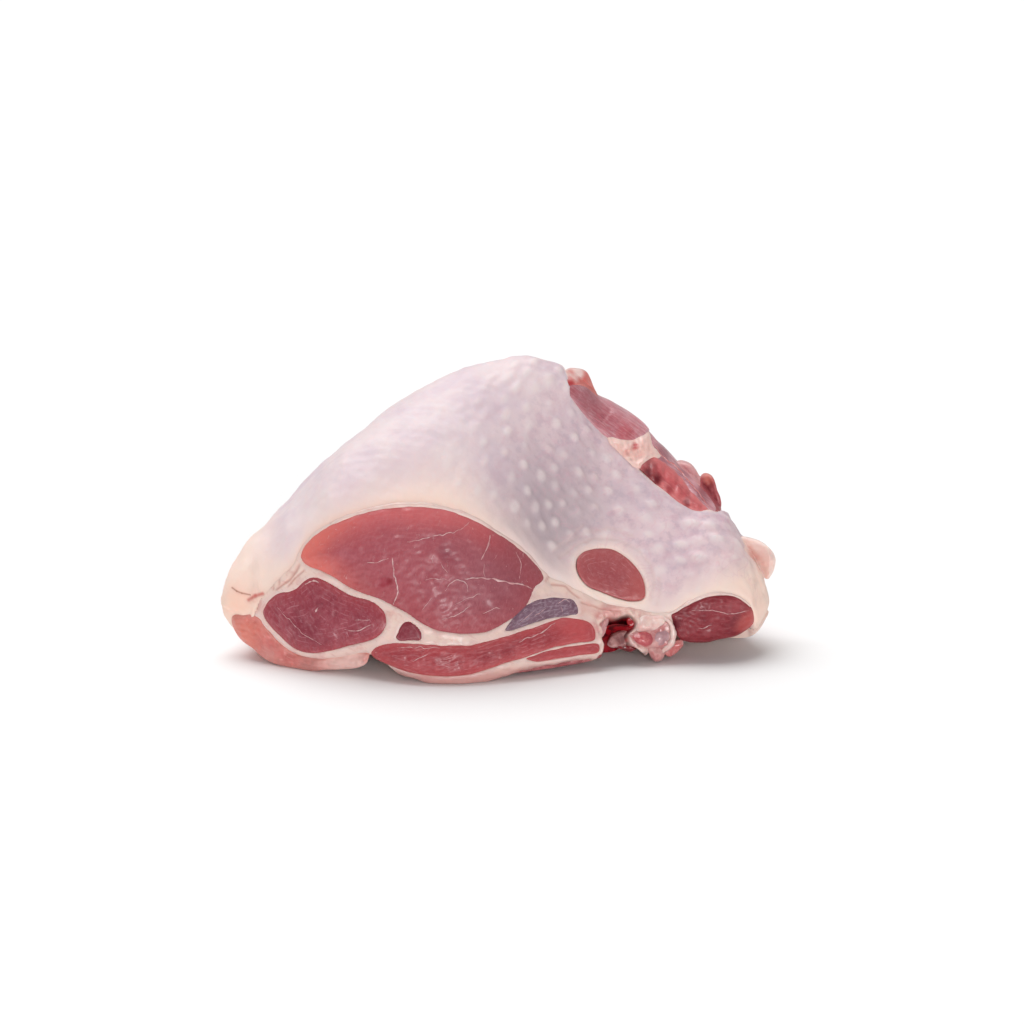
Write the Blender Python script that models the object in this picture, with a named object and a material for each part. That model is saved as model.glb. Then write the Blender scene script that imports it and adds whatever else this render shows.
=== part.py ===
"""A raw duck leg joint with its skin on, lying on its boned side, with the cut face to the front.

The whole form is a loft along X through sections in the YZ plane. Each section is a closed curve
through ten control points, and five of those ride on named rails. The skin is the outer layer of
that form, the muscles are tapering solids that run back into the fat from the cut face, and the
small lobes and tags are rounded blobs let into the fat core.

Sizes are in millimetres and are turned into metres where a mesh is made. +X is to the right, +Y to
the back and +Z up. The origin is below the middle of the joint, on the surface that it lies on.
"""

import math

import bmesh
import bpy
import numpy as np
from mathutils import Matrix, Vector

MM = 0.001

# ---- driving sizes -------------------------------------------------------------------------------
LENGTH_LEFT = -67.8   # tip of the rounded nose
LENGTH_RIGHT = 66.2   # tip of the broad end
NOSE_ROUND = 6.0      # length over which the left end is rounded off
TAIL_ROUND = 5.5      # the same at the right end
SKIN_THICK = 2.2      # skin with the fat just under it
GAP = 0.35            # clearance between neighbouring solids
POCKET_REACH = 9.0    # how far a pocket's cutter stands out in front of the cut face
SKIN_BACK = 17.0      # how far back over the top the skin reaches
STATIONS = 36         # sections along the loft
SIDES = 30            # points round each section

# Rails of the loft: (x, y, z) in millimetres. Each is named for the line that it draws on the joint.
RIDGE = [(-68, -12, 19), (-65, -10.5, 21.5), (-59.3, -6, 28), (-52.9, -2, 34.7), (-44.5, 2, 42.5),
         (-36.2, 5, 50), (-26.9, 8, 57.1), (-17.3, 10, 62.5), (-7.9, 11, 66.5), (-0.4, 11, 68.4),
         (6.1, 10, 69.1), (12.8, 10, 67.3), (18.5, 12, 65), (24.3, 15, 59.2), (30.1, 15, 55.6),
         (36.8, 14, 50.3), (44.2, 12, 42), (49.6, 10, 37.9), (54.4, 6, 32.6), (59.8, 0, 25.1),
         (63.4, -2, 20.8), (66.3, -4, 17.5)]
RIM = [(-68, -17.5, 12), (-61.2, -19, 13.7), (-57.1, -21, 15.7), (-52, -24, 22.1),
       (-47.6, -25.5, 26.1), (-39.3, -27, 36.2), (-31.8, -28, 39.3), (-22.8, -28.5, 40.8),
       (-16.4, -28.5, 40.8), (-7.5, -28, 38.6), (-0.4, -27, 34.7), (6, -25, 29.7),
       (11.5, -23, 24.1), (18, -22, 19.7), (24.1, -21.5, 15.8), (33.7, -21, 12.5),
       (43.3, -21, 14), (53, -20, 16.5), (59.2, -17, 15.2), (62.3, -15, 12.2), (66.3, -11, 10.5)]
FOOT = [(-68, -15, 9.5), (-60.7, -20, 10.3), (-56.8, -23, 9), (-50.6, -27, 4.4),
        (-43.9, -31, 3.4), (-34.7, -34, 4.5), (-30.1, -37, 5.2), (-27.2, -38.5, 3.7),
        (-20.1, -41, 1.4), (-10.9, -42, 0.2), (-2, -40, 0.7), (6, -37, 2.8), (15, -33, 3.5),
        (23.5, -29, 3.7), (33.7, -24, 3.1), (44, -20, 4.6), (50.5, -19, 4.3), (59, -16, 5),
        (62.5, -14, 5.3), (66.3, -10, 6.5)]
BACK = [(-68, -6, 14), (-60, 4, 16), (-52, 14, 20), (-40, 26, 24), (-25, 35, 26), (-8, 40, 28),
        (8, 42, 28), (22, 41, 26), (36, 35, 24), (48, 26, 20), (58, 14, 16), (66.3, 3, 13)]

# The free edge of the skin where it stops short of the meat at the upper right: (x, z).
SKIN_EDGE = [(16.4, 64.8), (16.8, 61.5), (18.9, 58.4), (25.1, 51.3), (30.6, 46.9), (36.2, 42.1),
             (41.9, 38.8), (46.5, 36.1), (52.3, 33.3), (55.1, 31.5)]

# Cut muscles on the front face: outline (x, z), then bulge, depth and the number of sides.
FRONT_MUSCLES = {
    "thigh_muscle": ([(-47.5, 26.2), (-44.9, 30.7), (-39.2, 35.2), (-32, 38), (-22.7, 39.4),
                      (-15.5, 39.1), (-7.5, 36.8), (-0.2, 33), (6.1, 28), (9.8, 23), (9.4, 20.4),
                      (7, 17), (3.3, 14), (-2.1, 12.1), (-8.4, 11.6), (-14.6, 12.5),
                      (-20.1, 14.6), (-25.4, 17.8), (-31.8, 20.8), (-39.2, 23.8),
                      (-44.9, 24.9)], 1.4, 44, 32),
    "round_muscle": ([(-48.4, 20), (-44.9, 21.8), (-39.2, 20.7), (-32.8, 18.5), (-28.4, 16.7),
                      (-27, 14), (-28, 11.6), (-31.8, 8.8), (-37.4, 6.7), (-44, 5.2),
                      (-49.6, 6.2), (-53.3, 8.8), (-56.2, 12.6), (-55, 15.8),
                      (-52.2, 18)], 1.1, 30, 24),
    "small_muscle": ([(-22.4, 13.9), (-19.6, 12.4), (-18.9, 10.8), (-22.7, 10.5), (-26, 10.2),
                      (-24, 11.9)], 0.3, 14, 12),
    "slate_muscle": ([(1.4, 12.1), (6.1, 15), (11.7, 17), (16, 16.6), (18, 15), (18.2, 13.8),
                      (15.8, 13.5), (10.7, 12.9), (5.2, 12.3)], 0.5, 22, 18),
    "under_muscle": ([(-29.8, 6), (-26.8, 8), (-20.1, 8.8), (-9.3, 8.7), (1.7, 9.8), (10.7, 11.5),
                      (16.2, 12), (21.4, 10.9), (23.1, 8.8), (22.6, 7.5), (16, 7.4),
                      (10.2, 6.7), (5.4, 4.6), (1.7, 3.4), (-3.7, 2.2), (-10.9, 2),
                      (-20.1, 3.2), (-27, 4.6)], 0.9, 26, 30),
    "under_lobe": ([(7.6, 4.3), (11, 5.7), (16, 6.4), (22, 6.6), (22.9, 6.1), (21.6, 5.6),
                    (16, 5.1), (10.4, 4.3)], 0.3, 14, 16),
    "oval_muscle": ([(18.8, 23.2), (20.2, 25.3), (24.7, 26.1), (29.2, 24.7), (32.5, 21.3),
                     (34.4, 18.2), (34, 15.3), (31, 15.2), (24.4, 17.6), (20.1, 20.4)],
                    0.9, 22, 20),
    "end_muscle": ([(41.9, 11.2), (47.5, 14.3), (53.1, 15.7), (57.6, 14.8), (60.4, 12),
                    (61.2, 8.8), (59, 5.2), (55.2, 3.9), (50.5, 3.2), (44.4, 3.9),
                    (42.2, 7.2)], 1.3, 24, 22),
}

# Plan of the meat at the back: its front boundary (x, y) from the left end to the right one.
BACK_LINE = [(-80, 19), (-40, 19), (13, 18), (19, 8.5), (36, 4.5), (57, -1), (80, -3)]

# Rounded lobes: centre, half sizes and turns about X, Y and Z in degrees. Each is cut clear of the
# ones above it in the list.
LOBES = {
    "left_flap": ((-47.4, -13.0, 4.7), (17.6, 19.0, 5.4), (0, 9, 0)),
    "top_lump": ((20.0, 12.5, 61.6), (4.6, 6.0, 3.6), (0, 30, 0)),
    "fat_patch": ((33.4, 7.0, 47.4), (5.6, 4.5, 3.0), (0, 35, 0)),
    "red_strip": ((44.0, 3.0, 38.6), (10.8, 3.6, 2.5), (0, 31, 0)),
    "side_strip": ((45.5, 8.5, 42.0), (12.5, 4.5, 3.4), (0, 47, 0)),
    "side_knob": ((50.6, 13.0, 37.0), (4.8, 5.0, 6.4), (0, 25, 0)),
    "side_flap": ((62.0, 4.5, 20.0), (6.4, 7.5, 7.0), (0, 0, 0)),
}
LOBE_RINGS = 8
LOBE_SEGMENTS = 12
SLIVERS_LEFT = 0.7    # share of the faces kept once the cuts' slivers are collapsed
FLAT = 0.05           # how near to the sole's plane a point is taken to lie on it
CENTRING = (-0.35, 0.45, 0)   # moves the middle of the whole box onto the origin

COLOURS = {
    "skin": (0.80, 0.62, 0.60), "fat_core": (0.85, 0.62, 0.54), "thigh_muscle": (0.42, 0.10, 0.12),
    "round_muscle": (0.30, 0.055, 0.07), "small_muscle": (0.26, 0.05, 0.07),
    "slate_muscle": (0.20, 0.12, 0.16), "under_muscle": (0.38, 0.075, 0.09),
    "under_lobe": (0.46, 0.10, 0.11), "oval_muscle": (0.40, 0.10, 0.11),
    "end_muscle": (0.22, 0.03, 0.045), "left_flap": (0.56, 0.18, 0.15),
    "top_lump": (0.60, 0.16, 0.15), "side_strip": (0.40, 0.11, 0.13),
    "fat_patch": (0.78, 0.42, 0.38), "side_knob": (0.36, 0.10, 0.11),
    "red_strip": (0.50, 0.08, 0.08), "side_flap": (0.66, 0.35, 0.29),
    "back_meat": (0.40, 0.10, 0.11),
    "joint_cartilage": (0.72, 0.42, 0.40), "pink_tag": (0.60, 0.26, 0.24),
}
ROUGHNESS = 0.35


# ---- curves --------------------------------------------------------------------------------------
def hermite(s, span, start, end, slope_start, slope_end):
    """The cubic from start to end over span, with the slopes given at its ends."""
    return ((2 * s**3 - 3 * s**2 + 1) * start + (s**3 - 2 * s**2 + s) * span * slope_start
            + (-2 * s**3 + 3 * s**2) * end + (s**3 - s**2) * span * slope_end)


def rail(knots, x):
    """(y, z) of a rail at each x, on a smooth curve through its knots."""
    knots = np.array(knots, float)
    at = knots[:, 0]
    step = np.diff(at)
    i = np.clip(np.searchsorted(at, x) - 1, 0, len(at) - 2)
    columns = []
    for value in (knots[:, 1], knots[:, 2]):
        rate = np.diff(value) / step
        slope = np.concatenate([rate[:1], (rate[1:] * step[:-1] + rate[:-1] * step[1:])
                                / (step[1:] + step[:-1]), rate[-1:]])
        columns.append(hermite((x - at[i]) / step[i], step[i], value[i], value[i + 1],
                               slope[i], slope[i + 1]))
    return np.stack(columns, -1)


def ring_through(points, u):
    """Closed curves through points (sections, K, axes), read at u, which runs from 0 to K."""
    after = np.roll(points, -1, 1)
    span = np.sqrt(np.linalg.norm(after - points, axis=2)) + 1e-6
    before_span = np.roll(span, 1, 1)
    rate = (after - points) / span[..., None]
    before_rate = np.roll(rate, 1, 1)
    slope = (rate * before_span[..., None] + before_rate * span[..., None])
    slope = slope / (span + before_span)[..., None]
    k = np.floor(u).astype(int) % points.shape[1]
    k_next = (k + 1) % points.shape[1]
    return hermite((u - np.floor(u))[None, :, None], span[:, k][..., None], points[:, k],
                   points[:, k_next], slope[:, k], slope[:, k_next])


def bump(x, middle, width, height):
    """A smooth hill of that height, about width to each side of its middle."""
    return height * np.exp(-((x - middle) / width) ** 2)


def section_points(x):
    """The ten control points of the section at each x, from the foot up the cut and round the back."""
    foot, rim, ridge, back = (rail(knots, x) for knots in (FOOT, RIM, RIDGE, BACK))

    def pushed(low, high, out):
        """Halfway from low to high, pushed outwards, to the front and up."""
        way = high - low
        normal = np.stack([-way[:, 1], way[:, 0]], -1)
        normal = normal / (np.linalg.norm(way, axis=1, keepdims=True) + 1e-9)
        return (low + high) / 2 + normal * out[:, None]

    face = pushed(foot, rim, bump(x, -15, 40, 1.6))
    slope = pushed(rim, ridge, bump(x, -28, 30, 5.5) + bump(x, 45, 20, 3) + 1)
    lift = 7 * np.sqrt(np.clip(ridge[:, 1] / 60, 0.1, 1.2))
    shoulder = (ridge + back) / 2 + np.stack([np.full_like(x, 3), lift], -1)
    beyond = np.clip(np.abs(x) - 38, 0, 40) ** 1.5
    heel = np.stack([back[:, 0] - 7 * np.clip(back[:, 1] / 24, 0.3, 1),
                     np.minimum(0.045 * beyond, back[:, 1] / 2)], -1)
    under = 0.05 * np.clip(np.abs(x) - 40, 0, 40) ** 1.5
    sole = np.stack([0.45 * foot[:, 0] + 0.55 * heel[:, 0], under], -1)
    toe_lift = 0.05 * np.clip(np.abs(x) - 30, 0, 40) ** 1.5 + 0.4 * foot[:, 1]
    toe = np.stack([0.85 * foot[:, 0] + 0.15 * heel[:, 0],
                    np.minimum(0.55 * foot[:, 1], toe_lift)], -1)
    return np.stack([foot, face, rim, slope, ridge, shoulder, back, heel, sole, toe], 1)


RIM_AT = 2      # control points counted from the foot
RIDGE_AT = 4
POINTS_ROUND = 10


def leg_surface(x, u):
    """Points (len(x), len(u), 3) of the whole form: the section at x, drawn in at both ends."""
    ring = ring_through(section_points(x), u)
    ring[..., 1] = np.maximum(ring[..., 1], 0)
    spine = ring.mean(1, keepdims=True)
    nose = np.clip((x - LENGTH_LEFT) / NOSE_ROUND, 0, 1)
    tail = np.clip((LENGTH_RIGHT - x) / TAIL_ROUND, 0, 1)
    width = np.sqrt(1 - (1 - nose) ** 2) * np.sqrt(1 - (1 - tail) ** 2)
    ring = spine + (ring - spine) * width[:, None, None]
    along = np.broadcast_to(x[:, None, None], ring.shape[:2] + (1,))
    return np.concatenate([along, ring], 2)


def front_depth(x, z):
    """y of the cut face and the skin in front, at each (x, z)."""
    u = np.linspace(0, RIDGE_AT, 60)
    ring = leg_surface(np.atleast_1d(x).astype(float), u)
    return np.array([np.interp(height, line[:, 2], line[:, 1]) for height, line in zip(z, ring)])


# ---- meshes --------------------------------------------------------------------------------------
def add_object(name, mesh, collection):
    """An object for mesh in collection, with its faces pointing out."""
    maker = bmesh.new()
    maker.from_mesh(mesh)
    bmesh.ops.remove_doubles(maker, verts=maker.verts, dist=1e-6)
    bmesh.ops.recalc_face_normals(maker, faces=maker.faces)
    maker.to_mesh(mesh)
    maker.free()
    made = bpy.data.objects.new(name, mesh)
    collection.objects.link(made)
    return made


def loft(name, rings, collection):
    """A closed solid through rings (count, sides, 3) in millimetres, capped at its two ends."""
    count, sides = rings.shape[:2]
    corner = np.arange(sides)
    after = (corner + 1) % sides
    start = (np.arange(count - 1) * sides)[:, None]
    quads = np.stack([start + corner, start + after, start + sides + after,
                      start + sides + corner], -1).reshape(-1, 4)
    tips = [rings[0].mean(0), rings[-1].mean(0)]
    points = np.concatenate([rings.reshape(-1, 3), tips]) * MM
    low_tip, high_tip = len(points) - 2, len(points) - 1
    last = (count - 1) * sides
    caps = [(int(after[i]), int(i), low_tip) for i in corner]
    caps += [(int(last + i), int(last + after[i]), high_tip) for i in corner]
    mesh = bpy.data.meshes.new(name)
    mesh.from_pydata(points.tolist(), [], quads.tolist() + caps)
    return add_object(name, mesh, collection)


def prism(name, collection, corners, axis, start, stop):
    """A flat outline carried along axis (1 for Y, 2 for Z) from start to stop.

    Its corners are (x, z) where it is carried along Y, and (x, y) where it is carried along Z.
    """
    maker = bmesh.new()
    verts = [maker.verts.new(np.insert((x, other), axis, start) * MM) for x, other in corners]
    face = maker.faces.new(verts)
    for item in bmesh.ops.extrude_face_region(maker, geom=[face])["geom"]:
        if isinstance(item, bmesh.types.BMVert):
            item.co[axis] = stop * MM
    bmesh.ops.triangulate(maker, faces=maker.faces)
    mesh = bpy.data.meshes.new(name)
    maker.to_mesh(mesh)
    maker.free()
    return add_object(name, mesh, collection)


def even_ends(low, high, count):
    """Values from low to high that crowd towards both ends, where the form rounds off."""
    turn = np.linspace(0, math.pi, count)
    crowded = (1 - np.cos(turn)) / 2
    return low + (high - low) * (0.5 * crowded + 0.5 * np.linspace(0, 1, count))


def leg_form(name, collection, inset=0.0):
    """The whole form as one solid, or the same drawn in along its normals by inset."""
    x = even_ends(LENGTH_LEFT + 0.15, LENGTH_RIGHT - 0.15, STATIONS)
    u = np.linspace(0, POINTS_ROUND, SIDES, endpoint=False)
    form = loft(name, leg_surface(x, u), collection)
    if inset:
        shrink = form.modifiers.new("inset", "DISPLACE")
        shrink.mid_level = 0
        shrink.strength = -inset * MM
    return form


def outline(points, sides):
    """A smooth closed outline (sides, 2) through points."""
    points = np.array(points, float)[None]
    return ring_through(points, np.linspace(0, points.shape[1], sides, endpoint=False))[0]


def muscle_rings(edge, bulge, depth, grow, reach):
    """Rings of a muscle from the middle of its cut front, over the edge and back to its point.

    Each ring is the outline scaled about its middle. The front rings lie on the cut face and rise
    by bulge towards the middle. The ones behind go back by depth and shrink. With grow, the
    outline is moved out by that much and the front is carried forward by reach, for a cutter.
    """
    middle = edge.mean(0)
    ahead = np.roll(edge, -1, 0) - np.roll(edge, 1, 0)
    outward = np.stack([ahead[:, 1], -ahead[:, 0]], -1)
    outward = outward / np.linalg.norm(outward, axis=1, keepdims=True)
    if ((edge - middle) * outward).sum() < 0:
        outward = -outward
    rings = []
    face = front_depth(edge[:, 0], edge[:, 1])
    if grow:
        wide = edge + outward * grow
        rings.append(np.stack([wide[:, 0], face - reach, wide[:, 1]], -1))
    else:
        for share in (0.3, 0.66):
            flat = middle + (edge - middle) * share
            lift = bulge * (1 - share**2)
            rings.append(np.stack([flat[:, 0], front_depth(flat[:, 0], flat[:, 1]) - lift,
                                   flat[:, 1]], -1))
    for back, share in ((0.0, 1.0), (0.3, 0.95), (0.65, 0.78), (1.0, 0.3)):
        ring = middle + (edge - middle) * share + outward * grow
        y = (1 - back) * face + back * (face.mean() + depth + grow)
        rings.append(np.stack([ring[:, 0], y, ring[:, 1]], -1))
    return np.array(rings)


def lobe(name, collection, centre, half, turns, grow=0.0):
    """A rounded lobe: a sphere primitive of the lobe's own half sizes, turned and set in place."""
    maker = bmesh.new()
    bmesh.ops.create_uvsphere(maker, u_segments=LOBE_SEGMENTS, v_segments=LOBE_RINGS, radius=1)
    for vert in maker.verts:
        vert.co = Vector([(half[i] + grow) * MM * vert.co[i] for i in range(3)])
    turn = Matrix.Identity(3)
    for axis, angle in zip("XYZ", turns):
        turn = Matrix.Rotation(math.radians(angle), 3, axis) @ turn
    for vert in maker.verts:
        vert.co = turn @ vert.co + Vector(centre) * MM
        vert.co.z = max(vert.co.z, -4 * grow * MM)
    bmesh.ops.remove_doubles(maker, verts=maker.verts, dist=1e-6)
    mesh = bpy.data.meshes.new(name)
    maker.to_mesh(mesh)
    maker.free()
    return add_object(name, mesh, collection)


# ---- cutting and finishing -----------------------------------------------------------------------
def cut(target, *cutters, operation="DIFFERENCE", solver="MANIFOLD"):
    """Applies one Boolean after another to target.

    The MANIFOLD solver stands in because the EXACT one loses the body: the form that is drawn in
    folds over itself at its tightest bends, and many pockets meet in thin walls of fat.
    """
    for cutter in cutters:
        step = target.modifiers.new(cutter.name, "BOOLEAN")
        step.operation = operation
        step.solver = solver
        step.object = cutter
    bake(target)


def bake(target):
    """Replaces target's mesh with the one that its modifiers make."""
    graph = bpy.context.evaluated_depsgraph_get()
    graph.update()
    mesh = bpy.data.meshes.new_from_object(target.evaluated_get(graph))
    target.modifiers.clear()
    target.data = mesh


def tidy_body(target):
    """Collapses the slivers that the cuts leave, drops loose scraps and keeps the largest body.

    A collapsed sliver can leave a face that hangs from one edge, and that goes too. What lies
    within FLAT of the sole's plane is set on it.
    """
    thin = target.modifiers.new("slivers", "DECIMATE")
    thin.ratio = SLIVERS_LEFT
    bake(target)
    maker = bmesh.new()
    maker.from_mesh(target.data)
    hanging = [face for face in maker.faces if any(edge.is_boundary for edge in face.edges)]
    bmesh.ops.delete(maker, geom=hanging, context="FACES")
    left = set(maker.verts)
    groups = []
    while left:
        stack = [left.pop()]
        group = set(stack)
        while stack:
            for edge in stack.pop().link_edges:
                for vert in edge.verts:
                    if vert in left:
                        left.discard(vert)
                        group.add(vert)
                        stack.append(vert)
        groups.append(group)
    groups.sort(key=len, reverse=True)
    for vert in groups[0]:
        if abs(vert.co.z) < FLAT * MM:
            vert.co.z = 0
    for group in groups[1:]:
        bmesh.ops.delete(maker, geom=list(group), context="VERTS")
    maker.to_mesh(target.data)
    maker.free()


def finish(target):
    """Gives the sub-part its colour and its smooth shading."""
    material = bpy.data.materials.new(target.name)
    material.use_nodes = True
    shader = material.node_tree.nodes["Principled BSDF"]
    shader.inputs["Base Color"].default_value = (*COLOURS[target.name], 1)
    shader.inputs["Roughness"].default_value = ROUGHNESS
    shader.inputs["Metallic"].default_value = 0
    target.data.materials.clear()
    target.data.materials.append(material)
    target.data.shade_smooth()
    target.data.set_sharp_from_angle(angle=math.radians(50))


def new_collection(name):
    made = bpy.data.collections.new(name)
    bpy.context.scene.collection.children.link(made)
    return made


# ---- sub-parts -----------------------------------------------------------------------------------
def skin_zone(name, collection, grow=0.0):
    """The block of space that the skin fills: above the rim of the cut, and short of the free edge.

    It is an outline in the front view, carried from in front of the joint back to SKIN_BACK.
    """
    rim = [(x, z - grow) for x, y, z in RIM if -58 < x < 60]
    nose = [(-78, 4 - grow), (-60.5 + grow, 7 - grow), (-58.4 + grow, 12 - grow)]
    tail = [(61.6 - grow, 12 - grow), (62.4 - grow, 6), (62 - grow, -6), (78, -6)]
    edge = [(x + grow * 0.7, z + grow * 0.7) for x, z in SKIN_EDGE]
    corners = nose + rim + tail + [(78, edge[-1][1])] + edge[::-1] + [(edge[0][0], 86), (-78, 86)]
    return prism(name, collection, corners, 1, -60.0, SKIN_BACK + grow)


def back_zone(name, collection, grow=0.0):
    """The block of space behind the meat's front boundary."""
    corners = [(x, y - grow) for x, y in BACK_LINE] + [(80, 60), (-80, 60)]
    return prism(name, collection, corners, 2, -10.0, 90.0)


def cartilage(name, collection, grow=0.0):
    """The knuckle of gristle at the open joint: balls run together by one union."""
    balls = [((36.9, -18.8, 7.4), (4.5, 4.8, 4.2)), ((33.2, -18.8, 5.4), (3.2, 3.6, 2.0)),
             ((37.2, -19.6, 2.6), (1.9, 2.2, 1.9)), ((36.8, -11.0, 6.4), (4.2, 7.5, 4.0))]
    pieces = [lobe(f"{name}_{i}", collection, centre, half, (0, 0, 0), grow)
              for i, (centre, half) in enumerate(balls)]
    whole = pieces[0]
    whole.name = name
    cut(whole, *pieces[1:], operation="UNION")
    for piece in pieces[1:]:
        bpy.data.objects.remove(piece)
    return whole


def main():
    for old in list(bpy.data.objects):
        bpy.data.objects.remove(old)
    parts = new_collection("duck_leg")
    cutters = new_collection("cutters")

    core = leg_form("fat_core", parts)
    skin = leg_form("skin", parts)

    # the skin: the outer layer of the form, inside the skin's own zone
    cut(skin, skin_zone("skin_zone", cutters), operation="INTERSECT")
    cut(skin, leg_form("under_skin", cutters, SKIN_THICK))
    skin_pocket = skin_zone("skin_pocket", cutters, GAP)
    cut(skin_pocket, leg_form("core_under_skin", cutters, SKIN_THICK + GAP))
    tidy_body(skin_pocket)
    cut(core, skin_pocket, back_zone("core_behind", cutters, GAP))
    back = leg_form("back_meat", parts)
    cut(back, back_zone("meat_zone", cutters), operation="INTERSECT")
    cut(back, skin_pocket)

    # the cut muscles, each in its own pocket
    pockets = []
    for name, (points, bulge, depth, sides) in FRONT_MUSCLES.items():
        edge = outline(points, sides)
        muscle = loft(name, muscle_rings(edge, bulge, depth, 0.0, 0.0), parts)
        cutter = loft(f"{name}_pocket", muscle_rings(edge, 0, depth, GAP, POCKET_REACH), cutters)
        pockets.append(cutter)
        finish(muscle)

    # lobes and tags, each let into what lies round it
    for name, (centre, half, turns) in LOBES.items():
        piece = lobe(name, parts, centre, half, turns)
        cut(piece, *pockets)
        pockets.append(lobe(f"{name}_pocket", cutters, centre, half, turns, GAP))
        finish(piece)
    for solid in (core, skin, back):
        cut(solid, *pockets)

    # the open joint: a hollow in the fat, with the knuckle beside it
    hollow = lobe("hollow", cutters, (29.0, -22.5, 7.6), (4.6, 9.0, 4.0), (0, 0, 0))
    cut(core, hollow, cartilage("knuckle_pocket", cutters, GAP))
    finish(cartilage("joint_cartilage", parts))
    tag = ((43.2, -17.5, 1.6), (2.6, 3.5, 1.3), (0, 0, 0))
    cut(core, lobe("tag_pocket", cutters, *tag, GAP))
    finish(lobe("pink_tag", parts, *tag))

    for solid in (core, skin, back):
        tidy_body(solid)
        finish(solid)
    for helper in list(cutters.objects):
        bpy.data.objects.remove(helper)
    bpy.data.collections.remove(cutters)
    for piece in parts.objects:
        piece.data.transform(Matrix.Translation(Vector(CENTRING) * MM))


main()
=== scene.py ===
"""A raw duck leg joint with its skin on, lying on its boned side, with the cut face to the front.

Every shape is worked out in millimetres from the rails of the joint, as whole arrays, and turned
into metres in add_piece. x runs to the right, y to the back and z up.
"""

import math

import bpy
import numpy as np
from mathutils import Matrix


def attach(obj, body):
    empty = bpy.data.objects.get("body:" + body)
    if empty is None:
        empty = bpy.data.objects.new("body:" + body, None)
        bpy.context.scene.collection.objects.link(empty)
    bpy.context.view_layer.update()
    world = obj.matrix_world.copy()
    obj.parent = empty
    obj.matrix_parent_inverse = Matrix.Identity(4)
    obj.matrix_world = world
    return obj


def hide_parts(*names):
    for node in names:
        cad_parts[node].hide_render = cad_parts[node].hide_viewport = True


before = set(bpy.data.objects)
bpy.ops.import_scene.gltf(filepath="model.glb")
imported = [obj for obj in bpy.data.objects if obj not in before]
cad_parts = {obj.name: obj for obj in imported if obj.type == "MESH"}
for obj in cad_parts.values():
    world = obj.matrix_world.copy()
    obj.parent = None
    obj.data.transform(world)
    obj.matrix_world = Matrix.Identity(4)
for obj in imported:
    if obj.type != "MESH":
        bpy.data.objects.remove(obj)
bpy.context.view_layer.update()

# ---- the form: sizes in millimetres --------------------------------------------------------------
MM = 0.001
CENTRING = np.array([-0.35, 0.45, 0.0])   # moves the middle of the whole box onto the origin
LENGTH_LEFT, LENGTH_RIGHT = -67.8, 66.2   # tips of the rounded nose and of the broad end
NOSE_ROUND, TAIL_ROUND = 6.0, 5.5         # lengths over which the two ends are rounded off
SKIN_THICK = 2.2                          # skin with the fat just under it
SKIN_BACK = 17.0                          # how far back over the top the skin reaches
EDGE_SOFT = 1.8                           # length over which its free edge is averaged
WRAPPED = 6.5                             # place round a section where it stops at the two ends

# Rails of the loft, (x, y, z): the lines that the form draws along the joint.
RIDGE = [(-68, -12, 19), (-65, -10.5, 21.5), (-59.3, -6, 28), (-52.9, -2, 34.7), (-44.5, 2, 42.5),
         (-36.2, 5, 50), (-26.9, 8, 57.1), (-17.3, 10, 62.5), (-7.9, 11, 66.5), (-0.4, 11, 68.4),
         (6.1, 10, 69.1), (12.8, 10, 67.3), (18.5, 12, 65), (24.3, 15, 59.2), (30.1, 15, 55.6),
         (36.8, 14, 50.3), (44.2, 12, 42), (49.6, 10, 37.9), (54.4, 6, 32.6), (59.8, 0, 25.1),
         (63.4, -2, 20.8), (66.3, -4, 17.5)]
RIM = [(-68, -17.5, 12), (-61.2, -19, 13.7), (-57.1, -21, 15.7), (-52, -24, 22.1),
       (-47.6, -25.5, 26.1), (-39.3, -27, 36.2), (-31.8, -28, 39.3), (-22.8, -28.5, 40.8),
       (-16.4, -28.5, 40.8), (-7.5, -28, 38.6), (-0.4, -27, 34.7), (6, -25, 29.7),
       (11.5, -23, 24.1), (18, -22, 19.7), (24.1, -21.5, 15.8), (33.7, -21, 12.5),
       (43.3, -21, 14), (53, -20, 16.5), (59.2, -17, 15.2), (62.3, -15, 12.2), (66.3, -11, 10.5)]
FOOT = [(-68, -15, 10.6), (-60.7, -20, 10.5), (-56.8, -23, 9), (-50.6, -27, 4.4),
        (-43.9, -31, 3.4), (-34.7, -34, 4.5), (-30.1, -37, 5.2), (-27.2, -38.5, 3.7),
        (-20.1, -41, 1.4), (-10.9, -42, 0.2), (-2, -40, 0.7), (6, -37, 2.8), (15, -33, 3.5),
        (23.5, -29, 3.7), (33.7, -24, 3.1), (44, -20, 4.6), (50.5, -19, 4.3), (59, -16, 5.7),
        (62.5, -14, 7.2), (66.3, -10, 8.6)]
BACK = [(-68, -6, 14), (-60, 4, 16), (-52, 14, 20), (-40, 26, 24), (-25, 35, 26), (-8, 40, 28),
        (8, 42, 28), (22, 41, 26), (36, 35, 24), (48, 26, 20), (58, 14, 16), (66.3, 3, 13)]
# The free edge of the skin at the upper right, (x, z).
SKIN_EDGE = [(15.9, 65.4), (16.4, 63.6), (17, 61.2), (18.9, 58.4), (25.1, 51.3), (30.6, 46.5),
             (34.4, 42.6), (37.3, 40), (40.7, 37.6), (43.7, 35.6), (46.6, 34.2), (49.5, 33.4),
             (52.3, 32.7), (54.2, 32.1), (55.8, 31.2)]
# The shallow valley in the skin between the thigh and the oval opening: x, z, width and depth.
VALLEY = (13.5, 31.0, 8.5, 1.7)

FOOT_AT, RIM_AT, RIDGE_AT, SOLE_AT = 0, 2, 4, 7.6   # places of these lines round a section
NOSE_START, TAIL_START = -1.5, -0.6   # places where the skin starts under the two ends
FAR_OUT = -20.0                       # stands for a place far outside an outline

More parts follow.
